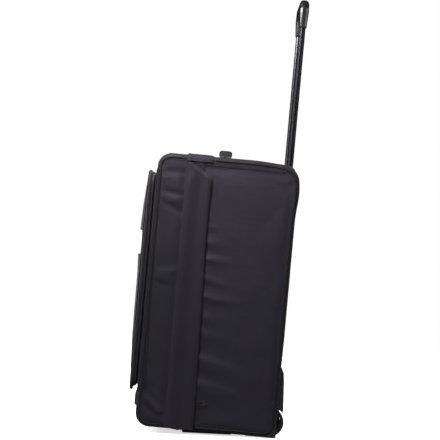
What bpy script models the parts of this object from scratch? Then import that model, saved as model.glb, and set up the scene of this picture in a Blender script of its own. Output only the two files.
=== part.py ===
"""Soft-sided wheeled equipment case: a deep rear compartment on a hard wheel chassis, a clamshell lid with a
front pocket, and a telescoping pull handle.

Everything is modelled in the bag's own frame, in metres: X across the width, Y from the front (negative) to the
back face at 0, Z up from the fabric bottom at 0. The empty bag_frame then leans the bag back onto its wheels and
wedge feet, so that both touch the floor at Z = 0 of the scene.
"""

from math import cos, pi, radians, sin, tan

import bmesh
import bpy
from mathutils import Matrix, Vector

# ---- driving dimensions -------------------------------------------------------------------------------------
LEAN = radians(2.4)  # the bag stands tipped back by this much
WIDTH = 0.380
HEIGHT = 0.671  # fabric bottom to fabric top
LID_FRONT_Y = -0.3465
ZIP_Y = -0.241  # plane where lid and rear compartment meet
ZIP_GAP = 0.0005  # each half stops this far from the zip plane
WALL = 0.004  # padded fabric over a foam and board core
CLEAR = 0.0003  # gap between pieces that touch
EDGE_ROUND = 0.012  # shoulder between a side panel and the gusset
ORIGIN_Y = 0.1640  # scene origin sits this far in front of the back face

HALF = WIDTH / 2
REAR_FRONT_Y = ZIP_Y + ZIP_GAP
LID_BACK_Y = ZIP_Y - ZIP_GAP

# ---- wheels, feet and guards --------------------------------------------------------------------------------
WHEEL_RADIUS = 0.036
WHEEL_X = 0.148
WHEEL_Y = -0.018
WHEEL_Z = 0.0345
TYRE_WIDTH = 0.025
HUB_RADIUS = 0.028
AXLE_RADIUS = 0.004
BEARING_RADIUS = 0.011
HOUSING_INNER_X = 0.118
HOUSING_OUTER_X = HALF - WALL - CLEAR
HOUSING_FRONT_Y = -0.074
HOUSING_TOP_Z = 0.084
WELL_RADIUS = 0.0405
WELL_WIDTH = 0.031
FOOT_X = (0.085, 0.150)
FOOT_Y = (-0.230, -0.1086)
FOOT_SCREW_Y = (-0.205, -0.135)
GUARD_X = (0.120, 0.176)
GUARD_SCREW_Z = (0.088, 0.142)
SCREW_SHANK = 0.002
SCREW_HEAD = 0.0045

# ---- pull handle --------------------------------------------------------------------------------------------
TUBE_X = 0.105
TUBE_Y = -0.021
INNER_TUBE = (0.018, 0.014)  # outside size along X and Y
OUTER_TUBE = (0.0225, 0.0185)
TUBE_WALL = 0.0012
TUBE_ROUND = 0.0045
OUTER_TUBE_Z = (0.1003, 0.6517)
INNER_TUBE_Z = (0.560, 1.028)
BEZEL_X = 0.128
BEZEL_Y = (-0.0345, -0.0075)
BEZEL_BOTTOM_Z = 0.652
GRIP_BOTTOM_Z = 1.013
GRIP_TOP_Z = 1.086
HANDLE_TRAVEL = 0.335
BUTTON_TRAVEL = 0.004
SHOE_TRAVEL = 0.0015
SHOE_Z = 0.552
ROD_RADIUS = 0.002

# ---- lid, flap, pocket, straps ------------------------------------------------------------------------------
HINGE_X = -0.196  # the fabric hinge bulges this far out on the left side
FLAP_SEAM_Y = (-0.276, -0.262)
FLAP_EDGE_Y = -0.2085
FLAP_INNER_X = HALF + 0.0038
FLAP_OUTER_X = HALF + 0.0056
FLAP_MITRE = ((-0.266, 0.652), (-0.207, 0.614))
POCKET_X = 0.168
POCKET_Z = (0.094, 0.6165)
POCKET_BASE_Y = (-0.3520, LID_FRONT_Y - CLEAR)
POCKET_BODY_Y = (-0.3628, -0.3523)
POCKET_WALL = 0.003
PANEL_EDGE_Y = -0.3655  # outer face of the pocket's panel along its edge
PANEL_THICK = 0.0024
# how far the stuffed panel stands out beyond its edge, by height
PANEL_CROWN = ((0.084, 0.0), (0.125, 0.0020), (0.165, 0.0045), (0.26, 0.0075), (0.37, 0.0085), (0.46, 0.0115), (0.51, 0.0115), (0.57, 0.0080), (0.6265, 0.0))
PANEL_LIP = 0.010
POCKET_HINGE = (-0.3645, 0.090)
LABEL_X = (0.100, 0.168)
LABEL_Z = (0.419, 0.477)
MAIN_SLIDER_Z = 0.070
PULLER_PIVOT_Y = -0.205
TOP_HANDLE_Y = -0.1835
TOP_HANDLE_WIDTH = 0.030
TOP_HANDLE_RISE = 0.0165
LOWER_HANDLE_Z = (0.0350, 0.0670)

ROUND_SEGMENTS = 24
CORNER_SEGMENTS = 5

SIDES = {"left": -1, "right": 1}


# ---- scene helpers ------------------------------------------------------------------------------------------
def clear_scene():
    for obj in list(bpy.data.objects):
        bpy.data.objects.remove(obj, do_unlink=True)


def material(name, colour, roughness, metallic=0.0):
    made = bpy.data.materials.new(name)
    made.use_nodes = True
    shader = made.node_tree.nodes["Principled BSDF"]
    shader.inputs["Base Color"].default_value = (*colour, 1)
    shader.inputs["Roughness"].default_value = roughness
    shader.inputs["Metallic"].default_value = metallic
    made.diffuse_color = (*colour, 1)
    return made


def pivot(name, location, parent=None):
    """An empty at a point of the bag frame, under another pivot or under the bag frame itself."""
    empty = bpy.data.objects.new(name, None)
    empty.empty_display_size = 0.02
    bpy.context.scene.collection.objects.link(empty)
    empty["at"] = list(location)
    if parent:
        empty.parent = parent
        empty.location = Vector(location) - Vector(parent["at"])
    return empty


def piece(name, bm, parent, look, smooth_angle=None):
    """Turns a bmesh in bag-frame coordinates into a named object under a pivot."""
    bmesh.ops.recalc_face_normals(bm, faces=bm.faces)
    mesh = bpy.data.meshes.new(name)
    bm.to_mesh(mesh)
    bm.free()
    if smooth_angle is not None:
        mesh.shade_smooth()
        mesh.set_sharp_from_angle(angle=radians(smooth_angle))
    mesh.materials.append(look)
    obj = bpy.data.objects.new(name, mesh)
    bpy.context.scene.collection.objects.link(obj)
    obj.parent = parent
    obj.matrix_parent_inverse = Matrix.Translation(-Vector(parent["at"]))
    return obj


def boolean(obj, bm, parent, operation="DIFFERENCE"):
    """Adds a Boolean with a hidden helper made from the bmesh."""
    helper = piece(f"{obj.name}_{operation.lower()}", bm, parent, obj.data.materials[0])
    helper.hide_render = True
    helper.display_type = "WIRE"
    modifier = obj.modifiers.new(operation.title(), "BOOLEAN")
    modifier.operation = operation
    modifier.solver = "EXACT"
    modifier.object = helper


# ---- shape helpers: each returns a bmesh --------------------------------------------------------------------
def prism(outline, axis, start, end):
    """Extrudes a closed 2D outline along an axis. The outline's pairs are the other two axes in X, Y, Z order."""
    order = {"X": (1, 2, 0), "Y": (0, 2, 1), "Z": (0, 1, 2)}[axis]

    def point(pair, along):
        co = [0.0, 0.0, 0.0]
        co[order[0]], co[order[1]], co[order[2]] = pair[0], pair[1], along
        return co

    bm = bmesh.new()
    base = bm.faces.new([bm.verts.new(point(pair, start)) for pair in outline])
    made = bmesh.ops.extrude_face_region(bm, geom=[base])
    moved = [v for v in made["geom"] if isinstance(v, bmesh.types.BMVert)]
    shift = [0.0, 0.0, 0.0]
    shift[order[2]] = end - start
    bmesh.ops.translate(bm, verts=moved, vec=shift)
    return bm


def box(x, y, z):
    return prism([(x[0], y[0]), (x[1], y[0]), (x[1], y[1]), (x[0], y[1])], "Z", z[0], z[1])


def mirrored(span, side):
    """A span on the right side as it lies on the given side, lowest value first."""
    return tuple(sorted((span[0] * side, span[1] * side)))


def bevel(bm, chosen, width, segments=3):
    edges = [e for e in bm.edges if chosen(*(v.co for v in e.verts))]
    bmesh.ops.bevel(bm, geom=edges, offset=width, segments=segments, profile=0.5, affect="EDGES")
    return bm


def bevel_all(bm, width, segments=2):
    return bevel(bm, lambda a, b: True, width, segments)


def arc(centre, radius, start, end, segments=CORNER_SEGMENTS):
    """Points of an arc, angles in degrees from the first axis towards the second."""
    steps = [radians(start + (end - start) * i / segments) for i in range(segments + 1)]
    return [(centre[0] + radius * cos(a), centre[1] + radius * sin(a)) for a in steps]


def rounded(u, v, radius, segments=CORNER_SEGMENTS):
    """Outline of a rectangle with round corners, from the low corner anticlockwise."""
    (u0, u1), (v0, v1) = u, v
    return (
        arc((u0 + radius, v0 + radius), radius, 180, 270, segments)
        + arc((u1 - radius, v0 + radius), radius, 270, 360, segments)
        + arc((u1 - radius, v1 - radius), radius, 0, 90, segments)
        + arc((u0 + radius, v1 - radius), radius, 90, 180, segments)
    )


def turned(profile, centre_y, centre_z, segments=ROUND_SEGMENTS):
    """Spins a closed profile of (x, radius) pairs around an axis along X."""
    bm = bmesh.new()
    rings = []
    for i in range(segments):
        a = 2 * pi * i / segments
        rings.append(
            [bm.verts.new((x, centre_y + r * cos(a), centre_z + r * sin(a))) for x, r in profile]
        )
    for i, ring in enumerate(rings):
        following = rings[(i + 1) % segments]
        for j in range(len(profile)):
            k = (j + 1) % len(profile)
            bm.faces.new((ring[j], ring[k], following[k], following[j]))
    return bm


def rod(axis, centre, radius, start, end, segments=ROUND_SEGMENTS):
    """A solid cylinder along an axis, its centre given by the other two coordinates."""
    return prism(arc(centre, radius, 0, 360 - 360 / segments, segments - 1), axis, start, end)


def joined(*parts):
    """One bmesh holding several; where the shapes overlap, use a Boolean union instead."""
    whole = bmesh.new()
    for bm in parts:
        mesh = bpy.data.meshes.new("part")
        bm.to_mesh(mesh)
        bm.free()
        whole.from_mesh(mesh)
        bpy.data.meshes.remove(mesh)
    return whole


def tube(centre_x, centre_y, size, wall, z):
    """A hollow rounded rectangular tube along Z."""
    bm = bmesh.new()
    loops = []
    for height in z:
        for inset in (0, wall):
            spans = [(c - s / 2 + inset, c + s / 2 - inset) for c, s in zip((centre_x, centre_y), size)]
            outline = rounded(*spans, TUBE_ROUND - inset, 3)
            loops.append([bm.verts.new((x, y, height)) for x, y in outline])
    low_out, low_in, high_out, high_in = loops
    for first, second in ((low_out, high_out), (high_out, high_in), (high_in, low_in), (low_in, low_out)):
        for i in range(len(first)):
            k = (i + 1) % len(first)
            bm.faces.new((first[i], first[k], second[k], second[i]))
    return bm


def ribbon(path, thickness, width, axis):
    """A strap along X: path pairs are (x, offset); offset and thickness run along Z or -Y, width along the other."""
    upper = [(x, h + thickness) for x, h in path]
    outline = list(path) + upper[::-1]
    if axis == "Z":
        return prism(outline, "Y", *width)
    return prism([(x, -h) for x, h in outline], "Z", *width)


def arch(half_span, foot, rise, base, segments=4):
    """(x, height) points of a strap that lies flat on base at its ends and arches up by rise between."""
    climb = half_span - foot - 0.030
    left = [(-half_span, base), (-half_span + foot, base)]
    for i in range(1, segments + 1):
        t = i / segments
        left.append((-half_span + foot + climb * t, base + rise * (3 * t * t - 2 * t ** 3)))
    return left + [(-x, h) for x, h in reversed(left)]


def crowned_plate(outline, surface, thickness, scales):
    """A plate in the XZ plane whose outer face lies at Y = surface(x, z), drawn as rings shrinking to a centre."""
    n = len(outline)
    middle = [sum(p[k] for p in outline) / n for k in (0, 1)]
    bm = bmesh.new()
    faces = []
    for offset in (0, thickness):
        rings = []
        for scale in scales:
            spread = [[m + (c - m) * scale for m, c in zip(middle, p)] for p in outline]
            rings.append([bm.verts.new((x, surface(x, z) + offset, z)) for x, z in spread])
        tip = bm.verts.new((middle[0], surface(*middle) + offset, middle[1]))
        for outer, inner in zip(rings, rings[1:]):
            for i in range(n):
                k = (i + 1) % n
                bm.faces.new((outer[i], outer[k], inner[k], inner[i]))
        for i in range(n):
            bm.faces.new((rings[-1][i], rings[-1][(i + 1) % n], tip))
        faces.append(rings[0])
    for i in range(n):
        k = (i + 1) % n
        bm.faces.new((faces[0][i], faces[0][k], faces[1][k], faces[1][i]))
    return bm


def spaced(outline, step):
    """The outline with extra points wherever two neighbours are more than step apart."""
    dense = []
    for (u0, v0), (u1, v1) in zip(outline, outline[1:] + outline[:1]):
        parts = max(1, round(((u1 - u0) ** 2 + (v1 - v0) ** 2) ** 0.5 / step))
        dense += [(u0 + (u1 - u0) * i / parts, v0 + (v1 - v0) * i / parts) for i in range(parts)]
    return dense


def floor_z(y):
    """Height of the floor in the bag frame, where the bag leans on its wheels."""
    touch = WHEEL_RADIUS / cos(LEAN)
    return WHEEL_Z - touch + (y - WHEEL_Y) * tan(LEAN)


# ---- fabric shells ------------------------------------------------------------------------------------------
def rear_outline(inset, wall):
    """Side view of the rear compartment drawn in by inset, with its open end at the zip plane."""
    back, bottom, top = -inset, inset, HEIGHT - inset
    front = REAR_FRONT_Y - (0.01 if wall else 0)
    low, high = 0.016 - inset, 0.038 - inset
    return (
        [(front, bottom)]
        + arc((back - low, bottom + low), low, 270, 360, 3)
        + arc((back - high, top - high), high, 0, 90)
        + [(front, top)]
    )


def lid_outline(inset, wall):
    """Side view of the lid drawn in by inset, with its open end at the zip plane."""
    front, bottom, top = LID_FRONT_Y + inset, inset, HEIGHT - inset
    back = LID_BACK_Y + (0.01 if wall else 0)
    low, high = 0.034 - inset, 0.032 - inset
    return (
        [(back, top)]
        + arc((front + high, top - high), high, 90, 180)
        + arc((front + low, bottom + low), low, 180, 270)
        + [(back, bottom)]
    )


def shell_block(outline, wall):
    """The outline lofted across the width, drawn in towards each side to round the long side edges."""
    radius = EDGE_ROUND - wall
    half = HALF - wall
    right = [(half - radius + radius * sin(a), wall + radius * (1 - cos(a))) for a in map(radians, (0, 30, 60, 90))]
    stations = [(-x, inset) for x, inset in reversed(right)] + right
    bm = bmesh.new()
    rings = [[bm.verts.new((x, y, z)) for y, z in outline(inset, wall)] for x, inset in stations]
    for first, second in zip(rings, rings[1:]):
        for i in range(len(first)):
            k = (i + 1) % len(first)
            bm.faces.new((first[i], first[k], second[k], second[i]))
    bm.faces.new(rings[0])
    bm.faces.new(rings[-1])
    return bm


def rear_shell(root, look):
    obj = piece("rear_shell", shell_block(rear_outline, 0), root, look)
    boolean(obj, shell_block(rear_outline, WALL), root)
    for side in SIDES.values():
        well = mirrored((HOUSING_INNER_X - CLEAR, HOUSING_OUTER_X + CLEAR), side)
        boolean(obj, box(well, (HOUSING_FRONT_Y - CLEAR, 0.02), (-0.02, HOUSING_TOP_Z + CLEAR)), root)
        for y in FOOT_SCREW_Y:
            boolean(obj, screw_hole("Z", (sum(FOOT_X) / 2 * side, y), -0.01, 0.01), root)
        for z in GUARD_SCREW_Z:
            boolean(obj, screw_hole("Y", (sum(GUARD_X) / 2 * side, z), -0.01, 0.01), root)
    slot_y = (BEZEL_Y[0] - CLEAR, BEZEL_Y[1] + CLEAR)
    slot_x = BEZEL_X + CLEAR
    boolean(obj, box((-slot_x, slot_x), slot_y, (0.64, 0.70)), root)


def lid_shell(lid, look):
    obj = piece("lid_shell", shell_block(lid_outline, 0), lid, look)
    boolean(obj, shell_block(lid_outline, WALL), lid)


def edge_band(y, thickness):
    """A zip tape along the rim: over the top, down the right side and under the bottom, as one bent strip."""
    near, far = CLEAR, CLEAR + thickness
    start = -HALF + 0.030

    def rim(offset):
        r = EDGE_ROUND + offset
        right, top = HALF - EDGE_ROUND, HEIGHT - EDGE_ROUND
        return (
            [(start, -offset)]
            + arc((right, EDGE_ROUND), r, 270, 360, 3)
            + arc((right, top), r, 0, 90, 3)
            + [(start, HEIGHT + offset)]
        )

    return prism(rim(far) + rim(near)[::-1], "Y", *y)


def lining_and_hinge(root, fabric, board):
    piece("trolley_cover_panel", box((-0.1845, 0.1845), (-0.0405, -0.0385), (0.0875, 0.660)), root, fabric)
    strip_x = (-HALF - 0.0024, -HALF - CLEAR)
    piece("hinge_gusset", box(strip_x, (REAR_FRONT_Y, -0.212), (0.014, 0.657)), root, fabric)
    obj = piece("base_board", box((-0.1775, 0.1775), (-0.237, -0.078), (0.0043, 0.0073)), root, board)
    for side in SIDES.values():
        for y in FOOT_SCREW_Y:
            boolean(obj, screw_hole("Z", (sum(FOOT_X) / 2 * side, y), -0.01, 0.02), root)


# ---- fasteners ----------------------------------------------------------------------------------------------
def screw_hole(axis, centre, start, end, radius=SCREW_SHANK):
    return rod(axis, centre, radius + CLEAR, start, end, 10)


def screw(name, root, look, axis, centre, head, head_end, tip):
    """A pan-head screw: the head runs from head to head_end, then the shank to the tip."""
    low, high = sorted((head, head_end))
    obj = piece(name, rod(axis, centre, SCREW_HEAD, low, high, 14), root, look, 30)
    near = head_end - 0.0005 if head_end > tip else head_end + 0.0005
    inside = (head + head_end) / 2
    low, high = sorted((inside, tip))
    boolean(obj, rod(axis, centre, SCREW_SHANK, low, high, 10), root, "UNION")
    return near


# ---- wheels and chassis -------------------------------------------------------------------------------------
def wheel(name, side, hub, looks):
    centre = WHEEL_X * side
    half = TYRE_WIDTH / 2
    tyre_in, tyre_out, shoulder = HUB_RADIUS + CLEAR, WHEEL_RADIUS, 0.0035
    tread = [
        (-half, tyre_in), (half, tyre_in), (half, tyre_out - shoulder), (half - 0.0012, tyre_out - 0.001),
        (half - shoulder, tyre_out), (shoulder - half, tyre_out), (0.0012 - half, tyre_out - 0.001),
        (-half, tyre_out - shoulder),
    ]
    rim = half - 0.0015
    seat, web, bore = 0.0037, 0.0015, BEARING_RADIUS + CLEAR
    core = [
        (-rim, bore), (-seat, bore), (-seat, 0.0085), (seat, 0.0085), (seat, bore), (rim, bore),
        (rim, 0.0135), (rim - web - 0.0035, 0.0150), (rim - web - 0.0035, 0.0235), (rim, 0.0250),
        (rim, HUB_RADIUS), (-rim, HUB_RADIUS), (-rim, 0.0250), (0.0035 + web - rim, 0.0235),
        (0.0035 + web - rim, 0.0150), (-rim, 0.0135),
    ]
    at = lambda profile, shift=0.0: [(centre + x + shift, r) for x, r in profile]
    piece(f"tyre_{name}", turned(at(tread), WHEEL_Y, WHEEL_Z, 40), hub, looks["tyre"], 40)
    piece(f"hub_{name}", turned(at(core), WHEEL_Y, WHEEL_Z, ROUND_SEGMENTS), hub, looks["hard"], 30)
    race = [
        (-0.0032, AXLE_RADIUS + CLEAR), (0.0032, AXLE_RADIUS + CLEAR),
        (0.0032, BEARING_RADIUS), (-0.0032, BEARING_RADIUS),
    ]
    for place, shift in (("inner", -side * 0.0073), ("outer", side * 0.0073)):
        ring = turned(at(race, shift), WHEEL_Y, WHEEL_Z, 20)
        piece(f"bearing_{name}_{place}", ring, hub, looks["steel"], 30)


def wheel_housing(name, side, root, looks):
    block = box(mirrored((HOUSING_INNER_X, HOUSING_OUTER_X), side), (HOUSING_FRONT_Y, 0.0), (0.0, HOUSING_TOP_Z))
    top_front = lambda a, b: abs(a.y - b.y) < 1e-6 and abs(a.z - b.z) < 1e-6 and a.z > 0.05
    bevel(block, top_front, 0.006, 2)
    obj = piece(f"wheel_housing_{name}", block, root, looks["hard"])
    centre = WHEEL_X * side
    slot = (centre - WELL_WIDTH / 2, centre + WELL_WIDTH / 2)
    boolean(obj, rod("X", (WHEEL_Y, WHEEL_Z), WELL_RADIUS, *slot), root)
    bore = mirrored((HOUSING_INNER_X - 0.01, HOUSING_OUTER_X + 0.01), side)
    boolean(obj, rod("X", (WHEEL_Y, WHEEL_Z), AXLE_RADIUS + CLEAR, *bore, 20), root)


def axle(name, side, root, look):
    """A shoulder bolt: its head lies inside the bag, against the housing's inner cheek."""
    head, seat, tip = HOUSING_INNER_X - 0.0037, HOUSING_INNER_X - CLEAR, HOUSING_OUTER_X - 0.003
    obj = piece(f"axle_{name}", rod("X", (WHEEL_Y, WHEEL_Z), 0.0075, *mirrored((head, seat), side), 6), root, look)
    shank = mirrored((seat - 0.001, tip), side)
    boolean(obj, rod("X", (WHEEL_Y, WHEEL_Z), AXLE_RADIUS, *shank, 20), root, "UNION")


def foot(name, side, root, looks):
    front, back = FOOT_Y
    toe = 0.003
    outline = [
        (front + toe, floor_z(front + toe)), (back, floor_z(back)), (back, -CLEAR), (front, -CLEAR),
        (front, floor_z(front) + toe),
    ]
    obj = piece(f"foot_{name}", prism(outline, "X", *mirrored(FOOT_X, side)), root, looks["hard"])
    x = sum(FOOT_X) / 2 * side
    for place, y in zip(("front", "back"), FOOT_SCREW_Y):
        head_end = -0.0022
        boolean(obj, screw_hole("Z", (x, y), -0.02, 0.01), root)
        boolean(obj, screw_hole("Z", (x, y), -0.02, head_end + CLEAR, SCREW_HEAD), root)
        screw(f"foot_screw_{name}_{place}", root, looks["steel"], "Z", (x, y), head_end - 0.0018, head_end, 0.0095)


def guard(name, side, root, looks):
    """The scuff guard on the back face, arched over its wheel."""
    outline = [
        (CLEAR, 0.056), (0.0118, 0.056), (0.0134, 0.062), (0.0114, 0.092), (0.0095, 0.120), (0.0075, 0.148),
        (0.0053, 0.163), (0.0030, 0.169), (CLEAR, 0.169),
    ]
    bm = prism(outline, "X", *mirrored(GUARD_X, side))
    obj = piece(f"guard_{name}", bm, root, looks["hard"])
    boolean(obj, rod("X", (WHEEL_Y, WHEEL_Z), WELL_RADIUS, *mirrored((0.10, 0.19), side), 40), root)
    x = sum(GUARD_X) / 2 * side
    seat = 0.0048
    for place, z in zip(("lower", "upper"), GUARD_SCREW_Z):
        boolean(obj, screw_hole("Y", (x, z), -0.01, 0.03), root)
        boolean(obj, screw_hole("Y", (x, z), seat, 0.03, SCREW_HEAD), root)
        start = seat + CLEAR
        screw(f"guard_screw_{name}_{place}", root, looks["steel"], "Y", (x, z), start + 0.0024, start, -0.0065)


# ---- pull handle --------------------------------------------------------------------------------------------
def fixed_trolley(root, looks):
    for name, side in SIDES.items():
        x = TUBE_X * side
        piece(f"outer_tube_{name}", tube(x, TUBE_Y, OUTER_TUBE, TUBE_WALL, OUTER_TUBE_Z), root, looks["tube"])
    foot_block = box((-0.119, 0.119), (-0.033, -0.009), (0.088, 0.100))
    piece("tube_bracket", bevel_all(foot_block, 0.002, 1), root, looks["hard"])
    proud = 0.001
    top = HEIGHT + proud
    r = 0.038 + proud
    outline = (
        [(BEZEL_Y[1], BEZEL_BOTTOM_Z)]
        + [p for p in arc((-0.038, top - r), r, 0, 90, 24) if BEZEL_Y[0] < p[0] < BEZEL_Y[1]]
        + [(BEZEL_Y[0], top), (BEZEL_Y[0], BEZEL_BOTTOM_Z)]
    )
    bezel = piece("trolley_bezel", prism(outline, "X", -BEZEL_X, BEZEL_X), root, looks["hard"])
    for side in SIDES.values():
        spans = [(c - s / 2 - 0.0006, c + s / 2 + 0.0006) for c, s in zip((TUBE_X * side, TUBE_Y), INNER_TUBE)]
        boolean(bezel, prism(rounded(*spans, TUBE_ROUND, 3), "Z", 0.64, 0.70), root)


def sliding_tubes(handle, looks):
    for name, side in SIDES.items():
        x = TUBE_X * side
        piece(f"inner_tube_{name}", tube(x, TUBE_Y, INNER_TUBE, TUBE_WALL, INNER_TUBE_Z), handle, looks["tube"], 30)
        block = rounded((x - 0.00975, x + 0.00975), (TUBE_Y - 0.00775, TUBE_Y + 0.00775), 0.003, 2)
        plug = piece(f"tube_plug_{name}", prism(block, "Z", 0.545, INNER_TUBE_Z[0] - CLEAR), handle, looks["hard"])
        neck = rounded((x - 0.0075, x + 0.0075), (TUBE_Y - 0.0055, TUBE_Y + 0.0055), 0.003, 2)
        boolean(plug, prism(neck, "Z", 0.555, 0.585), handle, "UNION")
        boolean(plug, rod("Z", (x, TUBE_Y), ROD_RADIUS + 0.0006, SHOE_Z, 0.60, 12), handle)
        pocket = mirrored((TUBE_X - 0.0006, TUBE_X + 0.02), side)
        boolean(plug, rod("X", (TUBE_Y, SHOE_Z), 0.0033, *pocket, 12), handle)


def grip_sections():
    """Centre, in-plane half size and Y half size of each section along the U of the grip, from foot to foot."""
    corner, bar_z = 0.022, GRIP_TOP_Z - 0.0135
    half_leg, half_bar = 0.0120, 0.0135
    outer = TUBE_X
    leg = [
        (-outer, GRIP_BOTTOM_Z, half_leg - 0.0008, 0.0088),
        (-outer, GRIP_BOTTOM_Z + 0.004, half_leg, 0.0095),
        (-outer, bar_z - corner, half_leg, 0.0118),
    ]
    centre = (-outer + corner, bar_z - corner)
    turn = [
        (*p, half_leg + (half_bar - half_leg) * i / 4, 0.0118)
        for i, p in enumerate(arc(centre, corner, 180, 90, 4)) if i
    ]
    left = leg + turn + [(-0.030, bar_z, half_bar, 0.0118)]
    return left + [(-x, z, a, b) for x, z, a, b in reversed(left)]


def grip(handle, looks):
    sections = grip_sections()
    bm = bmesh.new()
    rings = []
    count = 16
    for i, (x, z, a, b) in enumerate(sections):
        before, after = sections[max(i - 1, 0)], sections[min(i + 1, len(sections) - 1)]
        along = Vector((after[0] - before[0], 0, after[1] - before[1])).normalized()
        outward = Vector((along.z, 0, -along.x))
        ring = []
        for k in range(count):
            t = 2 * pi * k / count
            u, v = cos(t), sin(t)
            square = (abs(u) ** 3 + abs(v) ** 3) ** (-1 / 3)
            ring.append(bm.verts.new(Vector((x, TUBE_Y, z)) + outward * (a * u * square) + Vector((0, b * v * square, 0))))
        rings.append(ring)
    for first, second in zip(rings, rings[1:]):
        for k in range(count):
            m = (k + 1) % count
            bm.faces.new((first[k], first[m], second[m], second[k]))
    bm.faces.new(rings[0])
    bm.faces.new(rings[-1])
    obj = piece("grip_body", bm, handle, looks["grip"], 50)
    channel_z = (1.0655, 1.0738)
    boolean(obj, box((-0.1083, 0.1083), (TUBE_Y - 0.0055, TUBE_Y + 0.0055), channel_z), handle)
    boolean(obj, box((-0.0225, 0.0225), (TUBE_Y - 0.0065, TUBE_Y + 0.0065), (channel_z[0], 1.10)), handle)
    for side in SIDES.values():
        x = TUBE_X * side
        spans = [(c - s / 2 - CLEAR, c + s / 2 + CLEAR) for c, s in zip((x, TUBE_Y), INNER_TUBE)]
        boolean(obj, prism(rounded(*spans, TUBE_ROUND, 3), "Z", 1.0, INNER_TUBE_Z[1] + CLEAR), handle)
        boolean(obj, rod("Z", (x, TUBE_Y), ROD_RADIUS + 0.0008, 1.02, 1.070, 12), handle)


def button_and_rods(button, looks):
    """The button's cap and its cross bar, which presses both rods down through the tubes."""
    cap = box((-0.0215, 0.0215), (TUBE_Y - 0.0055, TUBE_Y + 0.0055), (1.0720, 1.0905))
    bevel(cap, lambda a, b: a.z > 1.09 and b.z > 1.09, 0.0012, 2)
    obj = piece("grip_button", cap, button, looks["button"])
    bar = box((-0.1073, 0.1073), (TUBE_Y - 0.0035, TUBE_Y + 0.0035), (1.0700, 1.0735))
    boolean(obj, bar, button, "UNION")
    for name, side in SIDES.items():
        shaft = rod("Z", (TUBE_X * side, TUBE_Y), ROD_RADIUS, 0.5595, 1.0697, 10)
        piece(f"push_rod_{name}", shaft, button, looks["steel"], 30)


def lock_shoe(name, side, shoe, look):
    """The brake that grips the fixed tube's inner wall until the button is pressed."""
    span = mirrored((TUBE_X + 0.0030, TUBE_X + 0.00975), side)
    piece(f"lock_shoe_{name}", rod("X", (TUBE_Y, SHOE_Z), 0.003, *span, 14), shoe, look, 30)


# ---- lid dressing -------------------------------------------------------------------------------------------
def storm_flaps(lid, look):
    """Flaps sewn to the lid that lie over the main zip, on the right side and over the top."""
    seam, start = FLAP_SEAM_Y, HALF + CLEAR
    side = [
        (start, seam[0]), (FLAP_OUTER_X, seam[0]), (FLAP_OUTER_X, FLAP_EDGE_Y), (FLAP_INNER_X, FLAP_EDGE_Y),
        (FLAP_INNER_X, seam[1]), (start, seam[1]),
    ]
    flap = piece("storm_flap_side", prism(side, "Z", 0.003, 0.656), lid, look)
    (y0, z0), (y1, z1) = FLAP_MITRE
    slope = (z1 - z0) / (y1 - y0)
    at = lambda y: (y, z0 + slope * (y - y0))
    corner = prism([at(-0.30), at(-0.19), (-0.19, 0.70), (-0.30, 0.70)], "X", HALF - 0.01, HALF + 0.02)
    boolean(flap, corner, lid)
    base, under, over = HEIGHT + CLEAR, HEIGHT + 0.0024, HEIGHT + 0.0040
    top = [
        (seam[0], base), (seam[1], base), (seam[1], under), (-0.212, under), (-0.212, over), (seam[0], over),
    ]
    piece("storm_flap_top", prism(top, "X", -0.165, 0.178), lid, look)


def pocket_outline(grow, radius):
    return rounded((-POCKET_X - grow, POCKET_X + grow), (POCKET_Z[0] - grow, POCKET_Z[1] + grow), radius)


def panel_face(x, z):
    """Y of the panel's outer face: full across the pocket and rolled over at its side edges."""
    across = max(0.0, 1 - abs(x / (POCKET_X + PANEL_LIP)) ** 10)
    for (z0, c0), (z1, c1) in zip(PANEL_CROWN, PANEL_CROWN[1:]):
        if z0 <= z <= z1:
            return PANEL_EDGE_Y - across * (c0 + (c1 - c0) * (z - z0) / (z1 - z0))
    return PANEL_EDGE_Y


def pocket_tape(lid, look):
    obj = piece("pocket_zip_tape", prism(pocket_outline(-0.004, 0.018), "Y", *POCKET_BASE_Y), lid, look)
    boolean(obj, prism(pocket_outline(-0.018, 0.010), "Y", -0.36, -0.34), lid)


def pocket_flap(flap, looks):
    """The pocket's gusset frame with its crowned panel and the woven label."""
    frame = piece("pocket_gusset", prism(pocket_outline(0, 0.022), "Y", *POCKET_BODY_Y), flap, looks["fabric"])
    boolean(frame, prism(pocket_outline(-POCKET_WALL, 0.019), "Y", -0.37, -0.34), flap)
    edge = spaced(pocket_outline(PANEL_LIP, 0.028), 0.060)
    panel = crowned_plate(edge, panel_face, PANEL_THICK, (1, 0.95, 0.85, 0.65, 0.35))
    piece("pocket_panel", panel, flap, looks["fabric"], 40)
    (x0, x1), (z0, z1) = LABEL_X, LABEL_Z
    rim = spaced([(x0, z0), (x1, z0), (x1, z1), (x0, z1)], 0.012)
    outside = lambda x, z: panel_face(x, z) - CLEAR - 0.0008
    piece("label_patch", crowned_plate(rim, outside, 0.0005, (1, 0.5)), flap, looks["label"])


def lower_handle(lid, look):
    path = arch(0.085, 0.020, 0.0085, -(LID_FRONT_Y - CLEAR))
    piece("lower_handle", ribbon(path, 0.0022, LOWER_HANDLE_Z, "-Y"), lid, look)


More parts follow.
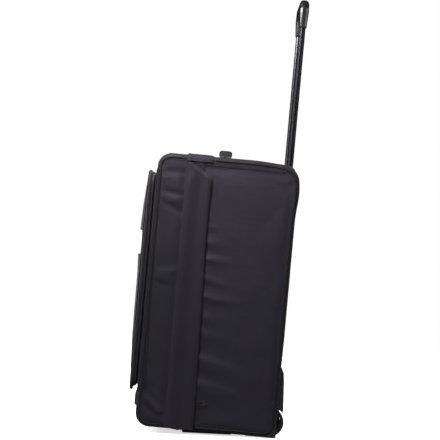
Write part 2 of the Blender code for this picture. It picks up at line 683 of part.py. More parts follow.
def top_handle(root, looks):
    base = HEIGHT + CLEAR
    half = TOP_HANDLE_WIDTH / 2
    path = arch(0.095, 0.022, TOP_HANDLE_RISE, base)
    strap_y = (TOP_HANDLE_Y - half + 0.001, TOP_HANDLE_Y + half - 0.001)
    piece("top_handle_strap", ribbon(path, 0.0022, strap_y, "Z"), root, looks["webbing"])
    crown = base + TOP_HANDLE_RISE
    outer = prism(
        rounded((TOP_HANDLE_Y - half - 0.0015, TOP_HANDLE_Y + half + 0.0015), (crown - 0.0030, crown + 0.0070), 0.0035, 3),
        "X", -0.029, 0.029,
    )
    pad = piece("top_handle_grip", outer, root, looks["grip"])
    slot_y = (strap_y[0] - CLEAR, strap_y[1] + CLEAR)
    boolean(pad, box((-0.05, 0.05), slot_y, (crown - CLEAR, crown + 0.0022 + CLEAR)), root)
    for name, side in SIDES.items():
        plate_z = base + 0.0022 + CLEAR
        plate = box(mirrored((0.0765, 0.0965), side), (TOP_HANDLE_Y - half, TOP_HANDLE_Y + half), (plate_z, plate_z + 0.0025))
        piece(f"top_handle_plate_{name}", bevel_all(plate, 0.0008, 1), root, looks["hard"])


# ---- zip sliders --------------------------------------------------------------------------------------------
def main_slider(slider, puller, looks):
    z = MAIN_SLIDER_Z
    body = box((HALF + 0.0015, HALF + 0.0034), (ZIP_Y - 0.006, ZIP_Y + 0.006), (z - 0.008, z + 0.008))
    obj = piece("main_zip_slider", body, slider, looks["steel"])
    link_y = (ZIP_Y + 0.004, PULLER_PIVOT_Y - 0.0025)
    link = box((HALF + 0.0015, HALF + 0.0029), link_y, (z - 0.002, z + 0.002))
    boolean(obj, link, slider, "UNION")
    tab = box((HALF + 0.0006, HALF + 0.0034), (PULLER_PIVOT_Y - 0.001, -0.171), (z - 0.0055, z + 0.0055))
    piece("main_zip_puller", bevel_all(tab, 0.0007, 1), puller, looks["webbing"])


def pocket_slider(slider, puller, looks):
    x, z = POCKET_SLIDER
    body = box((x - 0.006, x + 0.006), (-0.3515, -0.3475), (z, z + 0.0058))
    piece("pocket_zip_slider", bevel_all(body, 0.0006, 1), slider, looks["steel"])
    tab = box((x - 0.004, x + 0.004), (-0.3610, -0.3478), (z + 0.0062, z + 0.0082))
    piece("pocket_zip_puller", bevel_all(tab, 0.0006, 1), puller, looks["webbing"])


POCKET_SLIDER = (0.117, POCKET_Z[1] - 0.004 + CLEAR)


def build():
    clear_scene()
    looks = {
        "fabric": material("fabric", (0.022, 0.020, 0.024), 0.62),
        "webbing": material("webbing", (0.016, 0.015, 0.017), 0.75),
        "zip": material("zip_tape", (0.010, 0.009, 0.011), 0.70),
        "board": material("board", (0.030, 0.030, 0.032), 0.60),
        "hard": material("hard_plastic", (0.012, 0.012, 0.013), 0.45),
        "grip": material("grip", (0.014, 0.014, 0.015), 0.50),
        "button": material("button", (0.030, 0.030, 0.032), 0.35),
        "tube": material("tube", (0.030, 0.030, 0.033), 0.30, 0.9),
        "steel": material("steel", (0.350, 0.350, 0.360), 0.35, 1.0),
        "tyre": material("tyre", (0.010, 0.010, 0.011), 0.70),
        "label": material("label", (0.800, 0.800, 0.800), 0.70),
    }
    root = pivot("bag_frame", (0, 0, 0))
    root.rotation_euler = (-LEAN, 0, 0)
    root.location = (0, ORIGIN_Y, -floor_z(0) * cos(LEAN))

    rear_shell(root, looks["fabric"])
    lining_and_hinge(root, looks["fabric"], looks["board"])
    piece("main_zip_tape_rear", edge_band((REAR_FRONT_Y, -0.2304), 0.0008), root, looks["zip"])
    for name, side in SIDES.items():
        wheel_housing(name, side, root, looks)
        axle(name, side, root, looks["steel"])
        foot(name, side, root, looks)
        guard(name, side, root, looks)
        wheel(name, side, pivot(f"wheel_{name}", (WHEEL_X * side, WHEEL_Y, WHEEL_Z), root), looks)
    fixed_trolley(root, looks)
    top_handle(root, looks)

    handle = pivot("pull_handle", (0, TUBE_Y, HEIGHT), root)
    sliding_tubes(handle, looks)
    grip(handle, looks)
    button_and_rods(pivot("button", (0, TUBE_Y, GRIP_TOP_Z), handle), looks)
    for name, side in SIDES.items():
        shoe = pivot(f"shoe_{name}", (TUBE_X * side, TUBE_Y, SHOE_Z), handle)
        lock_shoe(name, side, shoe, looks["tyre"])

    lid = pivot("lid", (HINGE_X, ZIP_Y, HEIGHT / 2), root)
    lid_shell(lid, looks["fabric"])
    piece("main_zip_tape_lid", edge_band((-0.2555, LID_BACK_Y), 0.0008), lid, looks["zip"])
    storm_flaps(lid, looks["fabric"])
    pocket_tape(lid, looks["zip"])
    pocket_flap(pivot("pocket_flap", (0, *POCKET_HINGE), lid), looks)
    lower_handle(lid, looks["webbing"])

    slider = pivot("main_slider", (HALF, ZIP_Y, MAIN_SLIDER_Z), root)
    main_slider(slider, pivot("main_puller", (HALF + 0.002, PULLER_PIVOT_Y, MAIN_SLIDER_Z), slider), looks)
    x, z = POCKET_SLIDER
    slider = pivot("pocket_slider", (x, -0.3495, z), lid)
    pocket_slider(slider, pivot("pocket_puller", (x, -0.3490, z + 0.0072), slider), looks)


build()
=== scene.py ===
"""Looks for the soft-sided wheeled case: woven fabric shells, zips, webbing, moulded plastic, wheels and the
pull handle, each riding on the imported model's bodies. Lengths are in metres.

Shapes are drawn in the bag's own frame (X across, Y from the front to the back face at 0, Z up from the
fabric's bottom) and moved into the scene by world(), because the bag stands tipped back by LEAN.
"""

from math import cos, pi, radians, sin, sqrt, tan

import bmesh
import bpy
import numpy as np
from mathutils import Matrix, Vector, noise
from mathutils.bvhtree import BVHTree

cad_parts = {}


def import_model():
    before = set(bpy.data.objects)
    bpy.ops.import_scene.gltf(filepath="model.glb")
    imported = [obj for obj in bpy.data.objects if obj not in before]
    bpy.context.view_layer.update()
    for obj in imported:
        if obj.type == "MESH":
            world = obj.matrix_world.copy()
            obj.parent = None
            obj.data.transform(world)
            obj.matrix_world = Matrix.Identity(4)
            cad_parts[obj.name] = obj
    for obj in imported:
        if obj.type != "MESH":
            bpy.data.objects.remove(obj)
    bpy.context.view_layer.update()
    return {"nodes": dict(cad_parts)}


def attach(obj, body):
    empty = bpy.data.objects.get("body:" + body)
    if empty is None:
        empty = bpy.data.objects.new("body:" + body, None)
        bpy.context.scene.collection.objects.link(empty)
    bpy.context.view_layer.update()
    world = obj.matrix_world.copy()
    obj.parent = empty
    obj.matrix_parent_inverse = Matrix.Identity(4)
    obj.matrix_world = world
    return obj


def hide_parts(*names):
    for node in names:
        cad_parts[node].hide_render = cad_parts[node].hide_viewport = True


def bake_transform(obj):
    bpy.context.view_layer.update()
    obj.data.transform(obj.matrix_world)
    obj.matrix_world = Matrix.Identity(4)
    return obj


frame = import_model()

LEAN = radians(2.4)
HALF, HEIGHT = 0.190, 0.671  # half the width across the fabric, and the fabric's height
ZIP_Y, ZIP_GAP = -0.241, 0.0005  # the plane where the lid meets the rear half, and half the gap between them
EDGE = 0.012  # roundness of the long side edges
SKIN = 0.0032  # thickness of the padded fabric
THREAD_BED, THREAD_LIFT = 0.0002, 0.00015  # a seam's height over the cloth, and its threads' height over that
WHEEL_Y, WHEEL_Z, WHEEL_RADIUS = -0.018, 0.0345, 0.036
ORIGIN_Y = 0.1640
FLOOR_AT_0 = WHEEL_Z - WHEEL_RADIUS / cos(LEAN) - WHEEL_Y * tan(LEAN)  # the floor's Z where Y is 0
BAG = Matrix.Translation((0, ORIGIN_Y, -FLOOR_AT_0 * cos(LEAN))) @ Matrix.Rotation(-LEAN, 4, "X")
BAG_ROTATION = np.array(BAG.to_3x3())
BAG_SHIFT = np.array(BAG.translation)
NARROW_FROM, NARROW_OVER, NARROW_BY = 0.603, 0.062, 0.0048


def narrowed(points, way):
    """The soft sides lean in a little towards the top edge; way is 1 to apply that and -1 to undo it."""
    points = np.array(points, float).reshape(-1, 3)
    t = np.clip((points[:, 2] - NARROW_FROM) / NARROW_OVER, 0, 1)
    u = np.clip((np.abs(points[:, 0]) - 0.12) / 0.06, 0, 1)
    points[:, 0] -= way * np.sign(points[:, 0]) * NARROW_BY * t * t * (3 - 2 * t) * u * u * (3 - 2 * u)
    return points


def world(points):
    return narrowed(points, 1) @ BAG_ROTATION.T + BAG_SHIFT


def unworld(points):
    return narrowed((np.asarray(points, float) - BAG_SHIFT) @ BAG_ROTATION, -1)


# ---- mesh helpers -------------------------------------------------------------------------------------------
def placed(name, data):
    obj = bpy.data.objects.new(name, data)
    bpy.context.scene.collection.objects.link(obj)
    return obj


def mesh_of(name, made):
    """A Blender mesh, in the scene's frame, from (points, faces) in the bag's frame."""
    points, faces = made
    mesh = bpy.data.meshes.new(name)
    mesh.from_pydata(world(points).tolist(), [], [tuple(f) for f in faces])
    return mesh


def shape(name, made, body, look, replaces=(), smooth=60, marks=None):
    """A new piece from (points, faces) in the bag's frame. marks picks each face's look from a tuple."""
    mesh = mesh_of(name, made)
    mesh.validate()
    for one in look if isinstance(look, tuple) else (look,):
        mesh.materials.append(LOOKS[one])
    if marks is not None:
        mesh.polygons.foreach_set("material_index", np.asarray(marks, np.int32))
    if smooth:
        mesh.shade_smooth()
        if smooth < 180:
            mesh.set_sharp_from_angle(angle=radians(smooth))
    obj = placed(name, mesh)
    if body:
        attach(obj, body)
    if replaces:
        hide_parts(*replaces)
    return obj


def gather(parts):
    """Joins (points, faces) pairs into one pair."""
    points, faces, start = [], [], 0
    for p, f in parts:
        points.append(np.asarray(p, float))
        faces += [tuple(i + start for i in face) for face in f]
        start += len(p)
    return np.concatenate(points), faces


def grid_faces(rows, columns, start=0, flip=False, wrap=False):
    faces = []
    for i in range(rows - 1):
        for j in range(columns if wrap else columns - 1):
            k = (j + 1) % columns
            a, b = start + i * columns, start + (i + 1) * columns
            face = (a + j, b + j, b + k, a + k)
            faces.append(face[::-1] if flip else face)
    return faces


def slab(top, bottom):
    """A closed thin piece between two grids of points of the same size."""
    top, bottom = np.asarray(top, float), np.asarray(bottom, float)
    m, n = top.shape[:2]
    points = np.concatenate([top.reshape(-1, 3), bottom.reshape(-1, 3)])
    faces = grid_faces(m, n) + grid_faces(m, n, m * n, True)
    rim = [(0, j) for j in range(n)] + [(i, n - 1) for i in range(1, m)]
    rim += [(m - 1, j) for j in range(n - 2, -1, -1)] + [(i, 0) for i in range(m - 2, 0, -1)]
    rim = [i * n + j for i, j in rim]
    for a, b in zip(rim, rim[1:] + rim[:1]):
        faces.append((a, b, b + m * n, a + m * n))
    return points, outward(points, faces)


def outward(points, faces):
    """Faces turned so that a closed shape's volume is positive."""
    p = np.asarray(points, float)
    total = sum(np.dot(p[f[0]], np.cross(p[f[i]], p[f[i + 1]])) for f in faces for i in range(1, len(f) - 1))
    return faces if total > 0 else [f[::-1] for f in faces]


def ring_body(rings, closed=False):
    """A closed shape through rings of points: capped at both ends or, where closed, joined end to start."""
    n, sides = rings.shape[:2]
    faces, last = grid_faces(n, sides, wrap=True), (n - 1) * sides
    if closed:
        faces += [(last + j, j, (j + 1) % sides, last + (j + 1) % sides) for j in range(sides)]
    else:
        faces += [tuple(range(sides)), tuple(last + j for j in reversed(range(sides)))]
    points = rings.reshape(-1, 3)
    return points, outward(points, faces)


def tube(path, radius, sides=8, closed=False, up=(0, 0, 1)):
    """A tube along a path, its radius one number or one per point; up sets where its first side points."""
    path = np.asarray(path, float)
    n = len(path)
    radius = np.broadcast_to(radius, (n,))
    after, before = np.roll(path, -1, 0), np.roll(path, 1, 0)
    along = after - before
    if not closed:
        along[0], along[-1] = path[1] - path[0], path[-1] - path[-2]
    along /= np.linalg.norm(along, axis=1)[:, None]
    side = np.cross(along, np.asarray(up, float))
    weak = np.linalg.norm(side, axis=1) < 0.2
    side[weak] = np.cross(along[weak], (1.0, 0.0, 0.0))
    for i in range(1, n):
        if side[i] @ side[i - 1] < 0:
            side[i] = -side[i]
    side /= np.linalg.norm(side, axis=1)[:, None]
    lift = np.cross(side, along)
    turn = 2 * pi * np.arange(sides) / sides
    rings = path[:, None] + radius[:, None, None] * (
        side[:, None] * np.cos(turn)[None, :, None] + lift[:, None] * np.sin(turn)[None, :, None]
    )
    return ring_body(rings, closed)


def resample(path, step, closed=False):
    path = np.asarray(path, float)
    if closed:
        path = np.concatenate([path, path[:1]])
    length = np.concatenate([[0], np.cumsum(np.linalg.norm(np.diff(path, axis=0), axis=1))])
    count = max(2, round(length[-1] / step) + 1)
    at = np.linspace(0, length[-1], count)
    made = np.stack([np.interp(at, length, path[:, k]) for k in range(path.shape[1])], 1)
    return made[:-1] if closed else made


def smoothed(path, times=2, closed=False):
    path = np.asarray(path, float)
    for _ in range(times):
        nearby = (np.roll(path, 1, 0) + np.roll(path, -1, 0) + 2 * path) / 4
        if not closed:
            nearby[0], nearby[-1] = path[0], path[-1]
        path = nearby
    return path


def stitches(paths, lift, pitch=0.0042, length=0.0028, radius=0.00038):
    """Short rounded threads laid end to end along each path, raised by lift."""
    parts, out = [], np.asarray(lift) / max(np.linalg.norm(lift), 1e-9)
    for path in paths:
        line = resample(path, pitch)
        for a, b in zip(line, line[1:]):
            middle, along = (a + b) / 2 + lift, (b - a) / max(np.linalg.norm(b - a), 1e-9)
            t = np.array([-0.5, -0.3, 0.3, 0.5])[:, None] * length
            drop = np.array([0.5, 0, 0, 0.5])[:, None] * radius * out
            parts.append(tube(middle + along * t - drop, [radius * 0.5, radius, radius, radius * 0.5], 5,
                              up=lift))
    return gather(parts)


def sew(name, body, paths, lift, *sizes):
    """A stitched line as its own piece."""
    shape(name, stitches(paths, lift, *sizes), body, "thread")


def lathe(profile, centre, segments):
    """Spins a closed outline of (x, radius) pairs about an axis along X through centre (y, z)."""
    a = 2 * pi * np.arange(segments) / segments
    p = np.asarray(profile, float)
    points = np.stack([
        np.broadcast_to(p[None, :, 0], (segments, len(p))),
        centre[0] + p[None, :, 1] * np.cos(a)[:, None],
        centre[1] + p[None, :, 1] * np.sin(a)[:, None],
    ], 2).reshape(-1, 3)
    n, faces = len(p), []
    for i in range(segments):
        k = (i + 1) % segments
        for j in range(n):
            m = (j + 1) % n
            faces.append((i * n + j, i * n + m, k * n + m, k * n + j))
    return points, outward(points, faces)


def applied(obj):
    """Bakes an object's modifiers into its mesh."""
    graph = bpy.context.evaluated_depsgraph_get()
    mesh = bpy.data.meshes.new_from_object(obj.evaluated_get(graph))
    old = obj.data
    obj.modifiers.clear()
    obj.data = mesh
    bpy.data.meshes.remove(old)


def box_parts(x, y, z):
    points = [(a, b, c) for c in z for b in y for a in x]
    faces = [(0, 2, 3, 1), (4, 5, 7, 6), (0, 1, 5, 4), (2, 6, 7, 3), (0, 4, 6, 2), (1, 3, 7, 5)]
    return np.array(points), faces


def cut(obj, boxes):
    """Cuts boxes, each three spans in the bag frame, out of a piece and bakes the result."""
    tool = placed("cutter", mesh_of("cutter", gather([box_parts(*spans) for spans in boxes])))
    modifier = obj.modifiers.new("cut", "BOOLEAN")
    modifier.operation, modifier.solver, modifier.object = "DIFFERENCE", "EXACT", tool
    applied(obj)
    bpy.data.objects.remove(tool)


def soften(obj, width, segments):
    """Rounds the hard edges of a carried-over node."""
    modifier = obj.modifiers.new("soften", "BEVEL")
    modifier.width, modifier.segments, modifier.limit_method = width, segments, "ANGLE"
    modifier.angle_limit = radians(30)
    modifier.harden_normals = True


class Surface:
    """Finds where a line of sight meets a piece, in the bag frame."""

    def __init__(self, *objs):
        points, faces = [], []
        for obj in objs:
            start = len(points)
            points += [Vector(p) for p in unworld([v.co for v in obj.data.vertices])]
            faces += [[start + i for i in p.vertices] for p in obj.data.polygons]
        self.tree = BVHTree.FromPolygons(points, faces)

    def drop(self, path, direction, lift=0.0, reach=0.06):
        """Each point moved along direction, from reach away, until it meets the surface, and back by lift."""
        d = Vector(direction).normalized()
        found = []
        for p in path:
            hit = self.tree.ray_cast(Vector(p) - d * reach, d, reach * 3)[0]
            found.append(Vector(p) if hit is None else hit - d * lift)
        return np.array([tuple(p) for p in found])


# ---- wrinkles -----------------------------------------------------------------------------------------------
def ease(t):
    t = np.clip(t, 0, 1)
    return t * t * (3 - 2 * t)


def bell(t):
    return np.exp(-(t**2))


def crease(u, v, line, width, height, fade, hang=0.0):
    """Height of a fold along a line of (u, v) points in millimetres; fade scales it from start to end.

    hang widens the fold's lower flank by that many widths, for cloth that slumps over its own crest.
    """
    line = np.asarray(line, float) / 1000
    lengths = np.linalg.norm(np.diff(line, axis=0), axis=1)
    reach = np.concatenate([[0], np.cumsum(lengths)]) / lengths.sum()
    best, place, above = np.full(u.shape, 9.0), np.zeros(u.shape), np.zeros(u.shape)
    for (a, b), r0, r1 in zip(zip(line, line[1:]), reach, reach[1:]):
        d = b - a
        t = np.clip(((u - a[0]) * d[0] + (v - a[1]) * d[1]) / (d @ d), 0, 1)
        away = np.hypot(u - a[0] - t * d[0], v - a[1] - t * d[1])
        nearer = away < best
        over = (d[0] * (v - a[1]) - d[1] * (u - a[0])) * (1 if d[0] > 0 else -1)
        pairs = ((away, best), (r0 + t * (r1 - r0), place), (over, above))
        best, place, above = (np.where(nearer, new, old) for new, old in pairs)
    strength = fade[0] + (fade[1] - fade[0]) * ease(place)
    spread = width / 1000 * (1 + 0.5 * place) * np.where(above < 0, 1 + hang, 1)
    return height / 1000 * strength * bell(best / spread)


def rough(points, scale, seed):
    """Smooth seeded noise from -1 to 1 at each point, scale in features per metre on each axis."""
    s = np.broadcast_to(scale, (3,))
    return np.array([noise.noise(Vector((p[0] * s[0] + seed, p[1] * s[1] - seed, p[2] * s[2] + 2 * seed)))
                     for p in points])


# ---- materials ----------------------------------------------------------------------------------------------
class Look:
    """A small builder for one procedural material."""

    def __init__(self, name, **fixed):
        self.material = bpy.data.materials.new(name)
        self.material.use_nodes = True
        self.tree = self.material.node_tree
        self.shader = self.tree.nodes["Principled BSDF"]
        for socket, value in fixed.items():
            self.shader.inputs[socket.replace("_", " ")].default_value = value
        coords = self.add("ShaderNodeTexCoord")
        turn = self.add("ShaderNodeVectorRotate", rotation_type="X_AXIS")
        turn.inputs["Angle"].default_value = LEAN
        self.link(coords.outputs["Object"], turn.inputs["Vector"])
        facing = self.add("ShaderNodeVectorRotate", rotation_type="X_AXIS")
        facing.inputs["Angle"].default_value = LEAN
        self.link(coords.outputs["Normal"], facing.inputs["Vector"])
        self.at, self.facing = turn.outputs["Vector"], facing.outputs["Vector"]

    def add(self, kind, **settings):
        node = self.tree.nodes.new(kind)
        for key, value in settings.items():
            setattr(node, key, value)
        return node

    def link(self, out, into):
        self.tree.links.new(out, into)

    def put(self, socket, value):
        if isinstance(value, bpy.types.NodeSocket):
            self.link(value, socket)
        else:
            socket.default_value = value

    def math(self, operation, a, b=None, c=None):
        node = self.add("ShaderNodeMath", operation=operation)
        for socket, value in zip(node.inputs, (a, b, c)):
            if value is not None:
                self.put(socket, value)
        return node.outputs[0]

    def ramp(self, value, low, high, start=0.0, end=1.0):
        node = self.add("ShaderNodeMapRange")
        for socket, item in zip(("Value", "From Min", "From Max", "To Min", "To Max"),
                                (value, low, high, start, end)):
            self.put(node.inputs[socket], item)
        return node.outputs["Result"]

    def mix(self, factor, a, b):
        node = self.add("ShaderNodeMix", data_type="RGBA")
        self.put(node.inputs[0], factor)
        for socket, colour in ((node.inputs[6], a), (node.inputs[7], b)):
            self.put(socket, colour if isinstance(colour, bpy.types.NodeSocket) else (*colour, 1))
        return node.outputs[2]

    def noise(self, scale, detail=3.0, roughness=0.55, stretch=None):
        node = self.add("ShaderNodeTexNoise")
        node.inputs["Scale"].default_value = scale
        node.inputs["Detail"].default_value = detail
        node.inputs["Roughness"].default_value = roughness
        source = self.at
        if stretch:
            scaled = self.add("ShaderNodeVectorMath", operation="MULTIPLY")
            self.link(self.at, scaled.inputs[0])
            scaled.inputs[1].default_value = stretch
            source = scaled.outputs["Vector"]
        self.link(source, node.inputs["Vector"])
        return node.outputs["Fac"]

    def weave(self, pitch):
        """Crossing threads that follow whichever two axes lie in the surface, 0 to 1."""
        split, facing = self.add("ShaderNodeSeparateXYZ"), self.add("ShaderNodeSeparateXYZ")
        self.link(self.at, split.inputs[0])
        self.link(self.facing, facing.inputs[0])
        wave = [self.math("SINE", self.math("MULTIPLY", out, 2 * pi / pitch)) for out in split.outputs]
        total = None
        for face, (a, b) in zip(facing.outputs, ((1, 2), (0, 2), (0, 1))):
            crossing = self.math("MULTIPLY", self.math("MULTIPLY", wave[a], wave[b]),
                                 self.math("ABSOLUTE", face))
            total = crossing if total is None else self.math("ADD", total, crossing)
        return self.math("MULTIPLY_ADD", total, 0.5, 0.5)

    def bump(self, height, distance, strength=1.0, under=None):
        node = self.add("ShaderNodeBump")
        node.inputs["Distance"].default_value = distance
        node.inputs["Strength"].default_value = strength
        self.link(height, node.inputs["Height"])
        if under is not None:
            self.link(under, node.inputs["Normal"])
        return node.outputs["Normal"]

    def edges(self, low, high):
        """High on ridges and worn edges."""
        return self.ramp(self.add("ShaderNodeNewGeometry").outputs["Pointiness"], low, high)

    def finish(self, colour, roughness, normal=None):
        self.put(self.shader.inputs["Base Color"],
                 colour if isinstance(colour, bpy.types.NodeSocket) else (*colour, 1))
        self.put(self.shader.inputs["Roughness"], roughness)
        if normal is not None:
            self.link(normal, self.shader.inputs["Normal"])
        return self.material


def woven(name, base, pitch, crinkle=0.0006, rough_range=(0.55, 0.72), sheen=0.25, wear=1.7, depth=0.00012):
    """Cloth: threads, faded patches, dust on the ridges and fine crinkles."""
    look = Look(name, Sheen_Weight=sheen, Sheen_Roughness=0.45, Specular_IOR_Level=0.25)
    base = np.array(base)
    threads = look.weave(pitch)
    patches = look.noise(7, 4)
    colour = look.mix(look.ramp(patches, 0.35, 0.68), base * 0.86, base * 1.16)
    colour = look.mix(look.ramp(threads, 0.0, 0.55, 0.35, 0.0), colour, base * 0.45)
    edge = look.edges(0.505, 0.56)
    rubbed = look.math("MULTIPLY", edge, look.ramp(look.noise(60, 3), 0.4, 0.7, 0.1, 0.6))
    colour = look.mix(rubbed, colour, base * (wear + 0.35))
    normal = look.bump(look.noise(38, 5, 0.6, (1, 1, 1.6)), crinkle * 2.2, 0.55)
    normal = look.bump(threads, depth, 1.0, normal)
    return look.finish(colour, look.ramp(look.noise(22, 3), 0.3, 0.7, *rough_range), normal)


def moulded(name, base, grain=900, roughness=(0.36, 0.5), depth=0.00004, scuff=0.05, coat=0.0):
    """Moulded plastic or rubber: fine spark grain, paler scuffed edges and faint flow marks."""
    look = Look(name, Specular_IOR_Level=0.5, Coat_Weight=coat)
    base = np.array(base)
    colour = look.mix(look.ramp(look.noise(16, 3), 0.35, 0.7), base * 0.85, base * 1.2)
    marks = look.math("MULTIPLY", look.edges(0.52, 0.62), look.ramp(look.noise(130, 4), 0.45, 0.65))
    colour = look.mix(look.math("MULTIPLY", marks, 0.6), colour, base + scuff)
    normal = look.bump(look.noise(70, 4), depth * 2.5, 0.4)
    normal = look.bump(look.noise(grain, 2), depth, 1.0, normal)
    return look.finish(colour, look.ramp(look.noise(45, 4), 0.35, 0.7, *roughness), normal)


def anodised(name, base, metallic, roughness):
    """Drawn metal: streaks along the tube under a thin, lightly rubbed finish."""
    look = Look(name, Metallic=metallic, Specular_IOR_Level=0.5, Coat_Weight=0.35, Coat_Roughness=0.12)
    base = np.array(base)
    lines = look.noise(60, 4, 0.6, (30, 30, 0.4))
    colour = look.mix(look.ramp(lines, 0.35, 0.7), base * 0.8, base * 1.25)
    colour = look.mix(look.ramp(look.noise(9, 3), 0.55, 0.8, 0, 0.35), colour, base * 1.7)
    return look.finish(colour, look.ramp(lines, 0.3, 0.7, roughness, roughness + 0.12),
                       look.bump(lines, 0.00003, 0.5))


def webbed(name, base):
    """Ribbed webbing for straps that run along X: rows across the strap with a fine thread along it."""
    look = Look(name, Sheen_Weight=0.04, Sheen_Roughness=0.4, Specular_IOR_Level=0.25)
    base = np.array(base)
    split = look.add("ShaderNodeSeparateXYZ")
    look.link(look.at, split.inputs[0])
    ribs = look.math("SINE", look.math("MULTIPLY", split.outputs[0], 2 * pi / 0.0022))
    fine = look.math("SINE", look.math("MULTIPLY", split.outputs[1], 2 * pi / 0.0011))
    height = look.math("MULTIPLY_ADD", look.math("ADD", ribs, look.math("MULTIPLY", fine, 0.4)), 0.36, 0.5)
    colour = look.mix(look.ramp(height, 0.05, 0.75), base * 0.55, base * 1.25)
    colour = look.mix(look.ramp(look.noise(35, 4), 0.45, 0.75, 0, 0.5), colour, base * 1.6)
    return look.finish(colour, look.ramp(look.noise(70), 0.3, 0.7, 0.6, 0.8), look.bump(height, 0.0003, 0.9))


LOOKS = {
    "shell": woven("shell_fabric", (0.0150, 0.0120, 0.0228), 0.0013, sheen=0.09),
    "pocket": woven("pocket_fabric", (0.0200, 0.0178, 0.0225), 0.0013, 0.0009, wear=1.9, sheen=0.12),
    "gusset": woven("gusset_fabric", (0.0085, 0.0066, 0.0124), 0.0013, sheen=0.05),
    # the lid's side panels: the shell's own cloth painted darker, as painted shade on the lid half
    "shaded_lid_shell": woven("shaded_lid_shell_fabric", (0.0118, 0.0094, 0.0180), 0.0013, sheen=0.07),
    "flap": woven("flap_fabric", (0.0112, 0.0084, 0.0178), 0.0013, 0.0004, sheen=0.08),
    "band": woven("band_fabric", (0.0074, 0.0056, 0.0112), 0.0018, 0.0003, wear=1.5, sheen=0.05),
    "piping": woven("piping_fabric", (0.0034, 0.0028, 0.0048), 0.0010, 0.0002, (0.55, 0.68), wear=1.5,
                    sheen=0.02),
    "lining": woven("lining_fabric", (0.0480, 0.0470, 0.0520), 0.0007, 0.0008, (0.38, 0.5), 0.1, 1.3, 0.00005),
    "tape": woven("zip_tape_fabric", (0.0052, 0.0041, 0.0076), 0.0009, 0.0002, (0.6, 0.75), wear=1.5,
                  sheen=0.04),
    "strap": webbed("strap_webbing", (0.0075, 0.0066, 0.0086)),
    "thread": woven("thread", (0.0165, 0.0145, 0.0200), 0.0005, 0.0001, (0.45, 0.6), 0.05, wear=1.3),
    "label": woven("label_fabric", (0.8400, 0.8350, 0.8450), 0.0008, 0.0002, (0.55, 0.7), 0.2, 1.02),
    "coil": moulded("zip_coil", (0.0070, 0.0064, 0.0080), 1500, (0.34, 0.46), 0.00002, 0.004),
    "plastic": moulded("moulded_plastic", (0.0120, 0.0115, 0.0125)),
    "gloss": moulded("polished_plastic", (0.0085, 0.0080, 0.0090), 1800, (0.16, 0.3), 0.00001, 0.03, 0.3),
    "button": moulded("button_plastic", (0.0340, 0.0340, 0.0370), 1400, (0.24, 0.36), 0.00002),
    "grip": moulded("polished_grip", (0.0060, 0.0055, 0.0065), 1500, (0.32, 0.40), 0.000003, 0.002, 0.3),
    "pad": woven("handle_wrap", (0.0078, 0.0070, 0.0086), 0.0014, 0.0003, (0.6, 0.72), 0.03, 1.2),
    "tyre": moulded("tyre_rubber", (0.0110, 0.0108, 0.0112), 500, (0.62, 0.8), 0.00008, 0.035),
    "board": moulded("hard_board", (0.0300, 0.0300, 0.0330), 300, (0.5, 0.65), 0.0001),
    "tube": anodised("black_tube", (0.0500, 0.0480, 0.0530), 0.9, 0.15),
    "steel": anodised("plated_steel", (0.3800, 0.3800, 0.3950), 1.0, 0.25),
    "slider": anodised("dark_slider", (0.0900, 0.0880, 0.0940), 0.9, 0.28),
}


